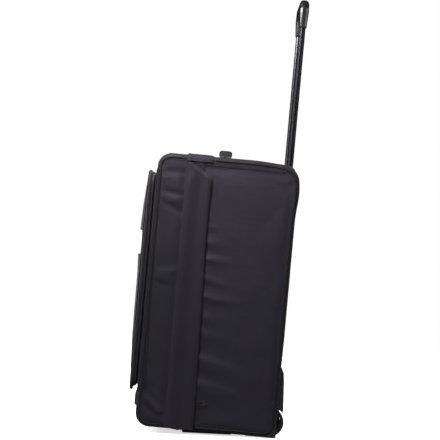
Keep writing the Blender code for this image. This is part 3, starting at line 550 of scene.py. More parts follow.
# ---- the two fabric halves ----------------------------------------------------------------------------------
def half_shell(rim_y, sign, depth, low, high):
    """One half of the bag from its rim to its closed end: a rectangle of points for each side, rings between.

    low and high are the corner radii of the side view. Returns points, outward directions, faces and the x side
    (1, -1 or 0 for the gusset) of each point.
    """
    inner, step = depth - EDGE, 0.006
    columns = np.linspace(0, inner, round(inner / step) + 1)
    rows = np.linspace(EDGE, HEIGHT - EDGE, round((HEIGHT - 2 * EDGE) / step) + 1)
    corners = ((low - EDGE, low, -1), (high - EDGE, HEIGHT - high, 1))

    def place(d, z):
        for radius, corner_z, turn in corners:
            a, b = d - (inner - radius), (z - corner_z) * turn
            if a > 1e-9 and b > 1e-9:
                r, angle = max(a, b), pi / 4 * b / a if a >= b else pi / 2 - pi / 4 * a / b
                c, s = cos(angle), turn * sin(angle)
                return inner - radius + r * c, corner_z + r * s, (c, s)
        return d, z, None

    n, m = len(columns), len(rows)
    flat = [[place(d, z) for d in columns] for z in rows]
    side = np.array([[(rim_y + sign * d, z) for d, z, _ in row] for row in flat])
    rim_order = [(0, i) for i in range(n)] + [(j, n - 1) for j in range(1, m)]
    rim_order += [(m - 1, i) for i in range(n - 2, -1, -1)]
    heading = []
    for j, i in rim_order:
        radial = flat[j][i][2]
        straight = (0, -1) if j == 0 else (0, 1) if j == m - 1 else (1, 0)
        a, b = radial if radial else straight
        heading.append((sign * a, b))
    heading = np.array(heading)
    edge = np.array([side[j, i] for j, i in rim_order])
    turns = [radians(a) for a in (22.5, 45, 67.5, 90)]
    flat_x = np.linspace(HALF - EDGE, EDGE - HALF, round(2 * (HALF - EDGE) / step) + 1)[1:-1]
    stations = [(HALF - EDGE + EDGE * cos(a), EDGE * sin(a), cos(a), sin(a)) for a in turns]
    stations += [(x, EDGE, 0, 1) for x in flat_x]
    stations += [(-x, o, -c, s) for x, o, c, s in stations[:4][::-1]]

    points, outs, sides = [], [], []
    for x in (HALF, -HALF):
        points.append(np.dstack([np.full((m, n), x), side]).reshape(-1, 3))
        outs.append(np.tile((np.sign(x), 0, 0), (m * n, 1)))
        sides += [np.sign(x)] * (m * n)
    for x, offset, across, out in stations:
        spread = edge + heading * offset
        points.append(np.column_stack([np.full(len(edge), x), spread]))
        outs.append(np.column_stack([np.full(len(edge), across), heading * out]))
        sides += [0] * len(edge)
    flip = sign > 0
    faces = grid_faces(m, n, 0, flip) + grid_faces(m, n, m * n, not flip)
    right = [j * n + i for j, i in rim_order]
    left = [m * n + k for k in right]
    p = len(edge)
    rings = [right] + [[2 * m * n + s * p + k for k in range(p)] for s in range(len(stations))] + [left]
    for first, second in zip(rings, rings[1:]):
        for k in range(p - 1):
            face = (first[k], second[k], second[k + 1], first[k + 1])
            faces.append(face if flip else face[::-1])
    return np.concatenate(points), np.concatenate(outs), faces, np.array(sides)


# Folds of the side panels as crease() takes them: the crest's (y, z) points, width, height, fade and hang.
REAR_FOLDS = (
    (((-207, 519), (-189, 517)), 4, 1.4, (1, 0.1)),
    (((-207, 500), (-165, 498)), 6, 2.2, (1, 0)),
    (((-207, 463), (-185, 461), (-150, 458)), 9, 3.6, (1, 0)),
    (((-207, 422), (-175, 420), (-125, 424)), 8, 4.7, (1, 0)),
    (((-207, 398), (-170, 394)), 5, 1.2, (1, 0)),
    (((-207, 376), (-185, 368), (-150, 361), (-120, 364)), 8, 3.6, (1, 0)),
    (((-207, 344), (-165, 338), (-130, 340)), 5, 1.4, (1, 0)),
    (((-207, 331), (-178, 325), (-145, 322), (-85, 326)), 7, 4.3, (1, 0)),
    (((-207, 281), (-170, 278), (-115, 272)), 10, 3.1, (1, 0)),
    (((-207, 243), (-165, 235), (-125, 226), (-70, 212)), 8, 3.1, (1, 0.1), 1.0),
    (((-207, 181), (-178, 175), (-150, 166), (-110, 155), (-50, 141)), 8, 4.6, (1, 0.05), 2.0),
    (((-207, 121), (-180, 117), (-150, 109), (-110, 97), (-60, 82)), 8, 4.6, (1, 0.05), 2.0),
    (((-205, 30), (-170, 18)), 12, -1.6, (1, 0)),
    (((-201, 20), (-205, 250), (-210, 450), (-210.5, 620)), 2.6, -2.6, (1, 1)),
    (((-60, 616), (-20, 606)), 12, -2.6, (0.5, 1)),
    (((-240, 645), (-205, 640), (-160, 644)), 9, -3.4, (0.6, 0.5)),
    (((-160, 646), (-30, 640)), 5, -1.6, (0.5, 0.8)),
)
LID_FOLDS = (
    (((-343, 622), (-320, 625), (-281, 627)), 7, -3.8, (1, 0.8)),
    (((-343, 601), (-322, 602), (-306, 604)), 3, -2.6, (1, 0.3)),
    (((-340, 580), (-318, 578), (-290, 572), (-278, 574)), 4, -3.5, (1, 0.7)),
    (((-332, 566), (-300, 558), (-284, 562)), 6, 2.3, (0.6, 1)),
    (((-330, 552), (-306, 542), (-281, 530)), 5, -3.2, (0.4, 1)),
    (((-283, 612), (-277, 600)), 5, -3.2, (1, 1)),
    (((-290, 484), (-278, 480)), 6, -1.7, (0.2, 1)),
    (((-330, 398), (-305, 396), (-280, 398)), 8, -1.2, (0.6, 1)),
    (((-333, 374), (-305, 378), (-280, 388)), 8, 2.3, (0.7, 1)),
    (((-326, 364), (-281, 362)), 6, 1.6, (0.6, 1)),
    (((-326, 351), (-280, 349)), 7, -1.6, (0.8, 0.6)),
    (((-290, 150), (-282, 120), (-284, 96)), 10, 2.4, (0.6, 0.6)),
    (((-328, 106), (-308, 96), (-290, 86)), 6, -1.9, (1, 0.5)),
    (((-323, 72), (-308, 56), (-290, 40)), 4, 3.5, (1, 1)),
    (((-326, 58), (-310, 42), (-292, 28)), 5, -2.3, (1, 0.6)),
    (((-314, 84), (-296, 64), (-284, 52)), 4, -1.7, (1, 0.6)),
    (((-326, 24), (-304, 22), (-284, 12)), 7, 2.6, (0.7, 1)),
)


def mirrored_folds(folds, shift, scale):
    """The unseen left side's own folds, as on the right but moved along and rescaled."""
    return [(tuple((y, z + shift * (1 if k % 2 else -1)) for y, z in line), w * 1.15, h * scale, *rest)
            for k, (line, w, h, *rest) in enumerate(folds)]


def crumple(points, sides, folds, rim_y, sign, depth, seed):
    """How far each point of a half shell stands out from its plain shape."""
    x, y, z = points.T
    d = (y - rim_y) * sign
    from_seam = np.minimum(np.minimum(z - EDGE, HEIGHT - EDGE - z), depth - EDGE - d)
    hold = ease(np.clip(from_seam, 0, 1) / 0.018)
    rise = np.zeros(len(points))
    for which, chosen in ((1, folds), (-1, mirrored_folds(folds, 14, 0.8))):
        mask = sides == which
        total = np.zeros(mask.sum())
        for line, width, height, *rest in chosen:
            total += crease(y[mask], z[mask], line, width, height, *rest)
        rise[mask] += total * np.maximum(hold[mask], 0.15)
    gusset = sides == 0
    middle = ease((HALF - EDGE - np.abs(x)) / 0.05)
    rolls = rough(points[gusset], (5, 9, 11), seed + 3)
    rise[gusset] += 0.0016 * rolls * middle[gusset]
    soft = rough(points, (9, 13, 17), seed) + 0.5 * rough(points, (22, 30, 36), seed + 9)
    near = 0.35 + 0.65 * np.where(gusset, middle, hold)
    rise += 0.00075 * soft * near
    # the panels pull in at their seams, and a groove runs down each side panel: near the back edge on the rear
    # half, beside the flap's seam on the lid
    seam = bell(np.clip(from_seam, 0, 1) / 0.004)
    rise[~gusset] -= 0.0011 * seam[~gusset]
    groove = 0.0030 * bell((y + 0.0185) / 0.0048) if sign > 0 else 0.0026 * bell((y + 0.2785) / 0.0050)
    rise[~gusset] -= (groove * ease((z - 0.012) / 0.02) * ease((0.640 - z) / 0.02))[~gusset]
    return rise * ease((d + 0.004) / 0.012)


def fabric_half(name, node, body, rim_y, sign, depth, low, high, folds, seed, openings=()):
    points, outs, faces, sides = half_shell(rim_y, sign, depth, low, high)
    points = points + outs * crumple(points, sides, folds, rim_y, sign, depth, seed)[:, None]
    if sign > 0:
        points = sag_back(points)
    marks = [0 if all(sides[i] for i in face) else 2 for face in faces]
    # the lid half takes the shell's cloth painted darker, as painted shade
    looks = ("shell" if sign > 0 else "shaded_lid_shell", "lining", "gusset", "lining")
    obj = shape(name, (points, faces), body, looks, (node,), 180, marks)
    drape(obj, sides, points, rim_y, sign, depth)
    wall = obj.modifiers.new("wall", "SOLIDIFY")
    wall.thickness, wall.offset, wall.material_offset = SKIN, -1, 1
    applied(obj)
    if openings:
        cut(obj, openings)
    return obj


def sag_back(points):
    """Lets the top fabric fall towards the back corner, where the case is widest."""
    y, z = points[:, 1], points[:, 2]
    drop = 0.0045 * ease((y + 0.11) / 0.09) * ease((z - 0.60) / 0.06)
    points = points.copy()
    points[:, 2] -= drop
    points[:, 1] += 0.0048 * bell((z - 0.600) / 0.040) * ease((y + 0.035) / 0.03)
    return points


def settled(obj, held, frames, share, cap, pressure, gravity, **settings):
    """Runs cloth with the held points pinned. The others keep a share of their move, counted up to cap."""
    before = np.array([v.co for v in obj.data.vertices])
    group = obj.vertex_groups.new(name="held")
    group.add([int(i) for i in np.nonzero(held)[0]], 1.0, "REPLACE")
    cloth = obj.modifiers.new("cloth", "CLOTH")
    cloth.settings.vertex_group_mass = "held"
    cloth.settings.quality = 5
    for setting, value in settings.items():
        setattr(cloth.settings, setting, value)
    cloth.settings.use_pressure = True
    cloth.settings.uniform_pressure_force = pressure
    cloth.settings.effector_weights.gravity = gravity
    cloth.collision_settings.use_collision = False
    cloth.point_cache.frame_start, cloth.point_cache.frame_end = 1, frames
    for number in range(1, frames + 1):
        bpy.context.scene.frame_set(number)
    applied(obj)
    move = np.array([v.co for v in obj.data.vertices]) - before
    size = np.linalg.norm(move, axis=1)
    move *= (share * np.minimum(size, cap) / np.maximum(size, 1e-9))[:, None]
    obj.data.vertices.foreach_set("co", (before + move * ~held[:, None]).astype(np.float32).ravel())
    obj.data.update()
    obj.vertex_groups.clear()
    bpy.context.scene.frame_set(1)


def drape(obj, sides, points, rim_y, sign, depth):
    """Settles the side panels as cloth held at their seams, so the drawn folds relax into each other."""
    d = (points[:, 1] - rim_y) * sign
    z = points[:, 2]
    inside = (sides != 0) & (d > 0.004) & (d < depth - EDGE - 0.003)
    inside &= (z > EDGE + 0.003) & (z < HEIGHT - EDGE - 0.003)
    settled(obj, ~inside, 14, 0.3, 0.003, 0.35, 0.25, mass=0.25, tension_stiffness=18, compression_stiffness=18,
            shear_stiffness=8, bending_stiffness=0.6)


# Each half's rim, the way it deepens from there, its depth, and its low and high corner radii.
REAR = (ZIP_Y + ZIP_GAP, 1, 0.2405, 0.034, 0.038)
LID = (ZIP_Y - ZIP_GAP, -1, 0.105, 0.034, 0.032)
WELLS = [(x, (-0.0743, 0.03), (-0.03, 0.0843)) for x in ((0.1177, 0.1860), (-0.1860, -0.1177))]
BEZEL_SLOT = ((-0.1283, 0.1283), (-0.0348, -0.0072), (0.630, 0.70))
rear = fabric_half("rear_fabric", "rear_shell", "bag", *REAR, REAR_FOLDS, 3.1, WELLS + [BEZEL_SLOT])
front = fabric_half("lid_fabric", "lid_shell", "lid", *LID, LID_FOLDS, 8.7)
rear_face, lid_face = Surface(rear), Surface(front)


# ---- seams, piping and the top band -------------------------------------------------------------------------
def outline(rim_y, sign, depth, low, high, grow, start):
    """Side view of a half as (y, z): from its rim along the bottom, round the closed end, back along the top."""
    inset = EDGE - grow
    end = depth - inset
    low, high = low - inset, high - inset
    arc = lambda cy, cz, r, a0, a1: [(cy + r * cos(a), cz + r * sin(a))
                                     for a in np.radians(np.linspace(a0, a1, 9))]
    path = [(start, inset)] + arc(end - low, inset + low, low, -90, 0)
    path += arc(end - high, HEIGHT - inset - high, high, 0, 90) + [(start, HEIGHT - inset)]
    return np.array([(rim_y + sign * d, z) for d, z in path])


def piping(name, body, rim_y, sign, depth, low, high, side, start):
    """The corded edge of a side panel, which swells along the case's back edge."""
    a = radians(17)
    line = outline(rim_y, sign, depth, low, high, EDGE * sin(a), start)
    across = np.full(len(line), side * (HALF - EDGE + EDGE * cos(a)))
    line = smoothed(resample(np.column_stack([across, line]), 0.005), 2)
    if sign > 0:
        line = sag_back(line)
    swell = 0.0022 * (1 + 0.05 * rough(line, 60, 4))
    if sign > 0:
        swell = swell * (1 + 1.0 * ease((line[:, 1] + 0.035) / 0.02) * ease((line[:, 2] - 0.01) / 0.03))
    shape(name, tube(line, swell, 9), body, "piping")


for word, side in (("right", 1), ("left", -1)):
    piping(f"rear_piping_{word}", "bag", *REAR, side, 0.036 if side > 0 else 0.032)
    piping(f"lid_piping_{word}", "lid", *LID, side, 0.040 if side > 0 else 0.034)


def top_band(name, body, y_span, low_z, side, face):
    """A band sewn over the top edge, from low_z on the side panel up over the shoulder, its far tip rounded."""
    rows = []
    ys = np.linspace(*y_span, max(8, round(abs(y_span[1] - y_span[0]) / 0.005)))
    section = [(0.0, z) for z in np.linspace(low_z, HEIGHT - EDGE, 4)[:-1]]
    section += [(a, None) for a in np.linspace(0, 90, 8)]
    for y in ys:
        t = abs(y - y_span[1]) / 0.014
        pull = 0.0 if t >= 1 else 1 - sqrt(max(0.0, 1 - (1 - t) ** 2))
        row = []
        for k, (angle, z) in enumerate(section):
            a = radians(angle)
            share = k / (len(section) - 1)
            if z is None:
                p = np.array((side * (HALF - EDGE + EDGE * cos(a)), y, HEIGHT - EDGE + EDGE * sin(a)))
                n = np.array((side * cos(a), 0, sin(a)))
            else:
                p, n = np.array((side * HALF, y, z)), np.array((side, 0, 0))
                p[2] += pull * (HEIGHT - EDGE - p[2]) * (1 - share)
            hit = face.drop([p], -n, 0.0, 0.02)[0]
            row.append((hit + n * 0.0010, hit - n * 0.0004))
        rows.append(row)
    rows = np.array(rows)
    shape(name, slab(rows[:, :, 0], rows[:, :, 1]), body, "band", smooth=50)


for word, side, lid_start in (("right", 1, -0.2425), ("left", -1, -0.2800)):
    top_band(f"rear_top_band_{word}", "bag", (-0.2375, -0.026), 0.6480, side, rear_face)
    top_band(f"lid_top_band_{word}", "lid", (lid_start, -0.322), 0.6560, side, lid_face)


# ---- storm flaps over the main zip --------------------------------------------------------------------------
FLAP_SEAM, FLAP_FOOT = -0.276, 0.003


def flap_edge_y(z):
    """The free edge hangs a little slanted: further back towards the bottom."""
    heights = (0.0, 0.03, 0.15, 0.25, 0.35, 0.45, 0.56, 0.62)
    return np.interp(z, heights, (-0.2030, -0.2030, -0.2052, -0.2075, -0.2098, -0.2125, -0.2135, -0.2115))


# The side flap's cross-section: how far along from its seam to its free edge, and how far out it lies there.
SECTION_T = (0, 0.03, 0.06, 0.10, 0.15, 0.21, 0.30, 0.40, 0.48, 0.54, 0.58, 0.64, 0.74, 0.85, 0.93, 0.98, 1.0)
SECTION_X = (0.1882, 0.1898, 0.1926, 0.1953, 0.1969, 0.1972, 0.1965, 0.1955, 0.1947, 0.1943, 0.1942, 0.1946,
             0.1957, 0.1969, 0.1970, 0.1964, 0.1958)


def side_flap():
    """Covers the main zip on the right side, sewn to the lid along its front edge and mitred at the top."""
    across = np.unique(np.concatenate([np.linspace(0, 1, 30), SECTION_T]))
    top = []
    for s in np.arange(101) / 100:
        row = []
        for t in across:
            y = FLAP_SEAM + (flap_edge_y(FLAP_FOOT + s * 0.65) - FLAP_SEAM) * t
            limit = 0.655 if y < -0.268 else 0.655 - (y + 0.268) * (0.655 - 0.617) / (-0.207 + 0.268)
            z = FLAP_FOOT + s * (limit - FLAP_FOOT)
            y = FLAP_SEAM + (flap_edge_y(z) - FLAP_SEAM) * t
            row.append((np.interp(t, SECTION_T, SECTION_X), y, z))
        top.append(row)
    top = np.array(top)
    x, y, z = top[..., 0], top[..., 1], top[..., 2]
    mitre = z - (0.655 - (y + 0.268) * 0.623)
    x += 0.0016 * bell((mitre + 0.006) / 0.007) * ease((y + 0.272) / 0.008)
    x += crease(y, z, ((-262, 640), (-268, 618)), 4, -1.6, (1, 1))
    x += crease(y, z, ((-250, 634), (-238, 600)), 9, 0.9, (1, 0))
    flat = top.reshape(-1, 3)
    wander = rough(flat, (8, 14, 7), 5.5) * 0.0009 + rough(flat, (8, 40, 16), 2.5) * 0.0004
    x += wander.reshape(x.shape) * ease((y - FLAP_SEAM) / 0.03)
    inner = top.copy()
    inner[..., 0] -= 0.0017
    flap = shape("storm_flap_side_fabric", slab(top, inner), "lid", "flap", ("storm_flap_side",), 50)
    flap_face = Surface(flap)
    lines = [
        flap_face.drop([(0.22, FLAP_SEAM + 0.0165, z) for z in np.linspace(0.01, 0.645, 90)], (-1, 0, 0),
                       THREAD_BED),
        flap_face.drop([(0.22, flap_edge_y(z) - 0.0045, z) for z in np.linspace(0.01, 0.612, 90)], (-1, 0, 0),
                       THREAD_BED),
    ]
    sew("storm_flap_stitches", "lid", lines, (THREAD_LIFT, 0, 0))


side_flap()


def top_flap():
    """Runs along the top edge, then turns down over the right shoulder to meet the side flap's mitre."""
    path = [(x, 0.6742) for x in np.linspace(-0.165, 0.170, 60)]
    centre, radius = (0.1775, 0.6590), 0.0155
    for a in np.radians(np.linspace(82, 0, 9)):
        path.append((centre[0] + radius * cos(a), centre[1] + radius * sin(a)))
    path.append((centre[0] + radius + 0.0006, 0.6572))
    across = np.array([0, 0.04, 0.09, 0.15, 0.22, 0.35, 0.5, 0.65, 0.8, 0.92, 0.98, 1.0])
    lift = np.array([-0.0022, 0.0003, 0.0010, 0.0006, 0, 0.0004, 0.0002, 0.0005, 0.0006, 0.0002, -0.0003,
                     -0.0010])
    top, under = [], []
    for i, (x, z) in enumerate(path):
        before, after = path[max(i - 1, 0)], path[min(i + 1, len(path) - 1)]
        along = np.array([after[0] - before[0], after[1] - before[1]])
        nx, nz = -along[1] / np.hypot(*along), along[0] / np.hypot(*along)
        edge = -0.2115 + 0.0009 * sin(i * 0.9)
        row, low = [], []
        for t, up in zip(across, lift):
            y = FLAP_SEAM + (edge - FLAP_SEAM) * t
            h = up + 0.0005 * noise.noise(Vector((x * 14, y * 20, 1.7)))
            row.append((x + nx * h, y, z + nz * h))
            low.append((x + nx * (h - 0.0016), y, z + nz * (h - 0.0016)))
        top.append(row)
        under.append(low)
    flap = shape("storm_flap_top_fabric", slab(top, under), "lid", "band", ("storm_flap_top",), 50)
    face = Surface(flap)
    lines = [face.drop([(x, y, 0.70) for x in np.linspace(-0.160, 0.168, 70)], (0, 0, -1), THREAD_BED)
             for y in (-0.2595, -0.2165)]
    sew("storm_flap_top_stitches", "lid", lines, (0, 0, THREAD_LIFT))


top_flap()


def side_stitching():
    """The sewn bar beside the flap's corner and the double row that runs down from it."""
    drop = lambda pts: rear_face.drop(pts, (-1, 0, 0), THREAD_BED)
    rows = [drop([(0.21, y, z) for z in np.linspace(0.632, 0.545, 14)]) for y in (-0.2045, -0.1985)]
    rows += [drop([(0.21, y, z) for y in np.linspace(-0.2055, -0.186, 4)]) for z in (0.6215, 0.6170)]
    rows += [drop([(0.21, y, 0.6445) for y in np.linspace(-0.200, -0.040, 30)])]
    sew("side_panel_stitches", "bag", rows, (THREAD_LIFT, 0, 0))


side_stitching()


# ---- main zip -----------------------------------------------------------------------------------------------
def rim_path(offset):
    """The rim from the left end of the top, over the right side, to the left end of the bottom, as (x, z)."""
    r = EDGE + offset
    arc = lambda cx, cz, a0, a1: [(cx + r * cos(a), cz + r * sin(a))
                                  for a in np.radians(np.linspace(a0, a1, 7))]
    right = HALF - EDGE
    round_corners = arc(right, HEIGHT - EDGE, 90, 0) + arc(right, EDGE, 0, -90)
    return [(-0.160, HEIGHT + offset)] + round_corners + [(-0.160, -offset)]


def zip_half(word, body, node, near_y, far_y):
    """One tape of the main zip round the rim, with every other tooth."""
    def row(offset, y):
        path = np.array(rim_path(offset))
        return resample(np.column_stack([path[:, 0], np.full(len(path), y), path[:, 1]]), 0.006)

    ys = (near_y, near_y + (far_y - near_y) * 0.15, near_y + (far_y - near_y) * 0.85, far_y)
    count = len(row(0.001, 0))

    def fit(p):
        at, old = np.linspace(0, 1, count), np.linspace(0, 1, len(p))
        return np.stack([np.interp(at, old, p[:, k]) for k in range(3)], 1)

    rises = (0.0012, 0.0014, 0.0014, 0.0008)
    outer = np.array([fit(row(o, y)) for o, y in zip(rises, ys)]).transpose(1, 0, 2)
    inner = np.array([fit(row(0.0002, y)) for y in ys]).transpose(1, 0, 2)
    shape(f"zip_tape_{word}", slab(outer, inner), body, "tape", (node,), 40)
    sign = 1 if far_y > near_y else -1
    line = resample(row(0.0018, 0), 0.0022)
    line = line[::2] if word == "rear" else line[1::2]
    parts = []
    for p in line:
        spine = [(p[0], ZIP_Y + sign * reach, p[2]) for reach in (-0.0006, 0.0006, 0.0030)]
        parts.append(tube(spine, (0.00085, 0.00095, 0.0007), 6))
    shape(f"zip_teeth_{word}", gather(parts), body, "coil")


zip_half("rear", "bag", "main_zip_tape_rear", ZIP_Y + ZIP_GAP, -0.2304)
zip_half("lid", "lid", "main_zip_tape_lid", ZIP_Y - ZIP_GAP, -0.2555)


def hinge_cloth():
    """The uncut fabric along the left side that lets the lid swing open like a book."""
    zs = np.linspace(0.014, 0.657, 80)
    ys = np.concatenate([np.linspace(-0.210, -0.234, 7), np.linspace(-0.236, -0.246, 11),
                         np.linspace(-0.248, -0.272, 7)])
    bulge = [-0.1916 - 0.0022 * bell((y - ZIP_Y) / 0.011) for y in ys]
    top = np.array([[(x - 0.0003 * sin(z * 190 + y * 60), y, z) for x, y in zip(bulge, ys)] for z in zs])
    top[..., 0] -= 0.0005 * rough(top.reshape(-1, 3), (10, 60, 26), 7.7).reshape(top.shape[:2])
    inner = top.copy()
    inner[..., 0] += 0.0012
    mesh_obj = shape("hinge_cloth", slab(top, inner), None, "flap", ("hinge_gusset",), 60)
    start, end = world([(-0.1915, -0.2365, 0.335), (-0.1915, -0.2455, 0.335)])
    tuple(start)
    tuple(end)
    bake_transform(mesh_obj)
    rows = [[(-0.1922, y, z) for z in np.linspace(0.02, 0.65, 80)] for y in (-0.2145, -0.2675)]
    for word, body, row in zip(("rear", "lid"), ("bag", "lid"), rows):
        sew(f"hinge_stitches_{word}", body, [row], (-0.0002, 0, 0))


hinge_cloth()


# ---- front pocket -------------------------------------------------------------------------------------------
POCKET_X, POCKET_Z = 0.168, (0.094, 0.6165)
PANEL_X, PANEL_Z = 0.178, (0.084, 0.6265)  # the padded panel reaches past the pocket's side walls
LID_FRONT, PANEL_BACK, PANEL_RIM = -0.3465, -0.3592, -0.3655


def round_rect(grow, radius, count):
    """The pocket's outline grown outwards as evenly spaced (x, z), anticlockwise from the lower right."""
    x, z0, z1 = POCKET_X + grow, POCKET_Z[0] - grow, POCKET_Z[1] + grow
    path = []
    right, low, high = x - radius, z0 + radius, z1 - radius
    for cx, cz, a0 in ((right, low, -90), (right, high, 0), (-right, high, 90), (-right, low, 180)):
        path += [(cx + radius * cos(a), cz + radius * sin(a)) for a in np.radians(np.linspace(a0, a0 + 90, 9))]
    length = sum(np.hypot(*(np.array(a) - b)) for a, b in zip(path, path[1:] + path[:1]))
    return resample(path, length / count, True)[:count]


def swept(section, radius, wobble=0.0, seed=0.0):
    """A closed ring whose cross-section is (grow, y) pairs, swept round the pocket's outline."""
    loops = []
    for grow, y in section:
        ring = round_rect(grow, max(radius + grow, 0.004), 220)
        loops.append(np.column_stack([ring[:, 0], np.full(len(ring), y), ring[:, 1]]))
    loops = np.array(loops).transpose(1, 0, 2)
    if wobble:
        flat = loops.reshape(-1, 3)
        centre = np.array([0, -0.3575, sum(POCKET_Z) / 2])
        away = flat - centre
        away[:, 1] = 0
        away /= np.linalg.norm(away, axis=1)[:, None]
        flat = flat + away * (wobble * rough(flat, (34, 60, 52), seed))[:, None]
        loops = flat.reshape(loops.shape)
    return ring_body(loops, closed=True)


def pocket_zip():
    """The zip's flat tape round the pocket, its coil, and the two corded welts outside it."""
    tape = [(-0.018, -0.3470), (-0.018, -0.3500), (-0.0145, -0.3506), (-0.0140, -0.3512), (-0.0125, -0.3512),
            (-0.0095, -0.3512), (-0.0080, -0.3512), (-0.0075, -0.3506), (-0.0040, -0.3502), (-0.0030, -0.3492),
            (-0.0030, -0.3478), (-0.0040, -0.3470)]
    shape("pocket_tape", swept(tape, 0.022), "lid", "tape", ("pocket_zip_tape",), 45)
    parts = []
    for p in round_rect(-0.0110, 0.011, 1000):
        square = np.array((1, 0, 0)) if abs(p[0]) > POCKET_X - 0.013 else np.array((0, 0, 1))
        middle, swing = np.array((p[0], -0.3515, p[1])), square * 0.0016
        spine = [middle - swing, middle + (0, -0.0005, 0), middle + swing]
        parts.append(tube(spine, (0.0005, 0.0007, 0.0005), 5))
    shape("pocket_coil", gather(parts), "lid", "coil")
    for word, grow in (("inner", 0.0145), ("outer", 0.0195)):
        ring = round_rect(grow - 0.006, 0.020, 300)
        line = lid_face.drop([(x, -0.40, z) for x, z in ring], (0, 1, 0), 0.0008)
        cord = tube(line, 0.0009 if word == "inner" else 0.0013, 7, True, up=(0, 1, 0))
        shape(f"pocket_welt_{word}", cord, "lid", "piping")


pocket_zip()


def lid_edge_tape_and_shade(word, side):
    """The dark strip that carries the pocket's zip round the lid's front edge, with its two stitched ridges.
    Where it spreads over the lid's rounded front shoulder, its dark cloth is painted shade.
    """
    rows, bend = [], LID_FRONT + EDGE
    lifts = [0.0004, 0.0012, 0.0014, 0.0011, 0.0011, 0.0012, 0.0012]
    lifts += [0.0012 + 0.0013 * bell(k - 9) + 0.0011 * bell(k - 13) for k in range(7, 23)]
    for z in np.linspace(0.092, 0.628, 90):
        reach = np.interp(z, (0.10, 0.15, 0.30, 0.45, 0.63), (-0.3250, -0.3280, -0.3330, -0.3360, -0.3385))
        reach += 0.0008 * noise.noise(Vector((side * 3, 1.2, z * 22)))
        row = []
        path = [(side * HALF, y, side, 0) for y in np.linspace(max(reach, bend), bend, 7)]
        for a in np.radians(np.linspace(8, 90, 13)):
            path.append((side * (HALF - EDGE + EDGE * cos(a)), bend - EDGE * sin(a), side * cos(a), -sin(a)))
        path += [(side * x, LID_FRONT, 0, -1) for x in (0.174, 0.1705, 0.1670)]
        for (x, y, nx, ny), lift in zip(path, lifts):
            n = np.array((nx, ny, 0)) / np.hypot(nx, ny)
            row.append(lid_face.drop([(x, y, z)], -n, lift, 0.02)[0])
        rows.append(row)
    top = np.array(rows)
    under = top.copy()
    under[:, :, 0] -= side * 0.0012
    under[:, :, 1] += 0.0006
    # dark zip tape cloth: partly the real strip, partly painted shade over the lid's shoulder
    shape(f"lid_edge_tape_and_shade_{word}", slab(top, under), "lid", "tape", smooth=70)


for word, side in (("right", 1), ("left", -1)):
    lid_edge_tape_and_shade(word, side)


def panel_y(x, z):
    """Outer face of the pocket's panel: rolled over at its side edges and fullest above its middle."""
    across = np.maximum(0.0, 1 - np.abs(x / PANEL_X) ** 10)
    heights = (PANEL_Z[0], 0.105, 0.125, 0.165, 0.21, 0.26, 0.37, 0.42, 0.46, 0.51, 0.54, 0.57, 0.60,
               PANEL_Z[1])
    crown = (0, 0.0008, 0.0020, 0.0045, 0.0062, 0.0075, 0.0085, 0.0102, 0.0115, 0.0116, 0.0102, 0.0080, 0.0046,
             0)
    return PANEL_RIM - across * np.interp(z, heights, crown)


def pocket_panel():
    """A stuffed panel: crowned outside, rolled over at its edge and flat against the gusset behind."""
    count, rings = 240, []
    middle = np.array([0.0, sum(POCKET_Z) / 2])
    roll = ((0.0100, PANEL_RIM), (0.0108, -0.3645), (0.0106, -0.3625), (0.0092, -0.3605), (0.0066, PANEL_BACK),
            (0.0030, -0.3588))
    spreads = (0.03, 0.1, 0.2, 0.3, 0.4, 0.5, 0.6, 0.7, 0.78, 0.84, 0.88, 0.91, 0.935, 0.955, 0.97, 0.982,
               0.992)
    outer = round_rect(0.0100, 0.028, count)
    for scale in spreads:
        spread = middle + (outer - middle) * scale
        rings.append(np.column_stack([spread[:, 0], panel_y(spread[:, 0], spread[:, 1]), spread[:, 1]]))
    for grow, y in roll:
        ring = round_rect(grow, 0.024 + grow * 0.4, count)
        rings.append(np.column_stack([ring[:, 0], np.full(count, y), ring[:, 1]]))
    inner = round_rect(-0.004, 0.016, count)
    rings.append(np.column_stack([inner[:, 0], np.full(count, PANEL_BACK), inner[:, 1]]))
    for scale in (0.93, 0.8, 0.6, 0.35, 0.1):
        spread = middle + (inner - middle) * scale
        y = panel_y(spread[:, 0], spread[:, 1]) + 0.0040
        rings.append(np.column_stack([spread[:, 0], y, spread[:, 1]]))
    rings = np.array(rings)
    n = len(rings)
    points = rings.reshape(-1, 3)
    faces = grid_faces(n, count, wrap=True)
    front_tip, back_tip = len(points), len(points) + 1
    crown = panel_y(0.0, middle[1])
    points = np.concatenate([points, [[0, crown, middle[1]], [0, crown + 0.0040, middle[1]]]])
    faces += [(front_tip, j, (j + 1) % count) for j in range(count)]
    faces += [(back_tip, (n - 1) * count + (j + 1) % count, (n - 1) * count + j) for j in range(count)]
    faces = outward(points, faces)
    obj = shape("pocket_panel_fabric", (points, faces), "pocket", ("pocket", "lining"), ("pocket_panel",),
                180)
    plump(obj)
    co = unworld([v.co for v in obj.data.vertices])
    x, y, z = co.T
    rim = bell(np.minimum(PANEL_X - np.abs(x), np.minimum(z - PANEL_Z[0], PANEL_Z[1] - z)) / 0.022)
    outside = ease((-0.3585 - y) / 0.003)
    fold = 0.0013 * rough(co, (26, 10, 46), 1.3) + 0.0007 * rough(co, (60, 20, 95), 6.1)
    high = 0.35 + 0.65 * ease((z - 0.42) / 0.12)
    push = fold * (0.25 + 0.9 * rim * high) * outside
    seam = bell(np.minimum(POCKET_X - 0.0045 - np.abs(x), np.minimum(z - 0.0985, 0.612 - z)) / 0.0022)
    push -= 0.0012 * seam * outside * (y < -0.362)
    co[:, 1] -= push
    co[:, 0] += np.sign(x) * np.maximum(0, push) * rim * 0.7
    obj.data.vertices.foreach_set("co", world(co).astype(np.float32).ravel())
    obj.data.update()
    return obj


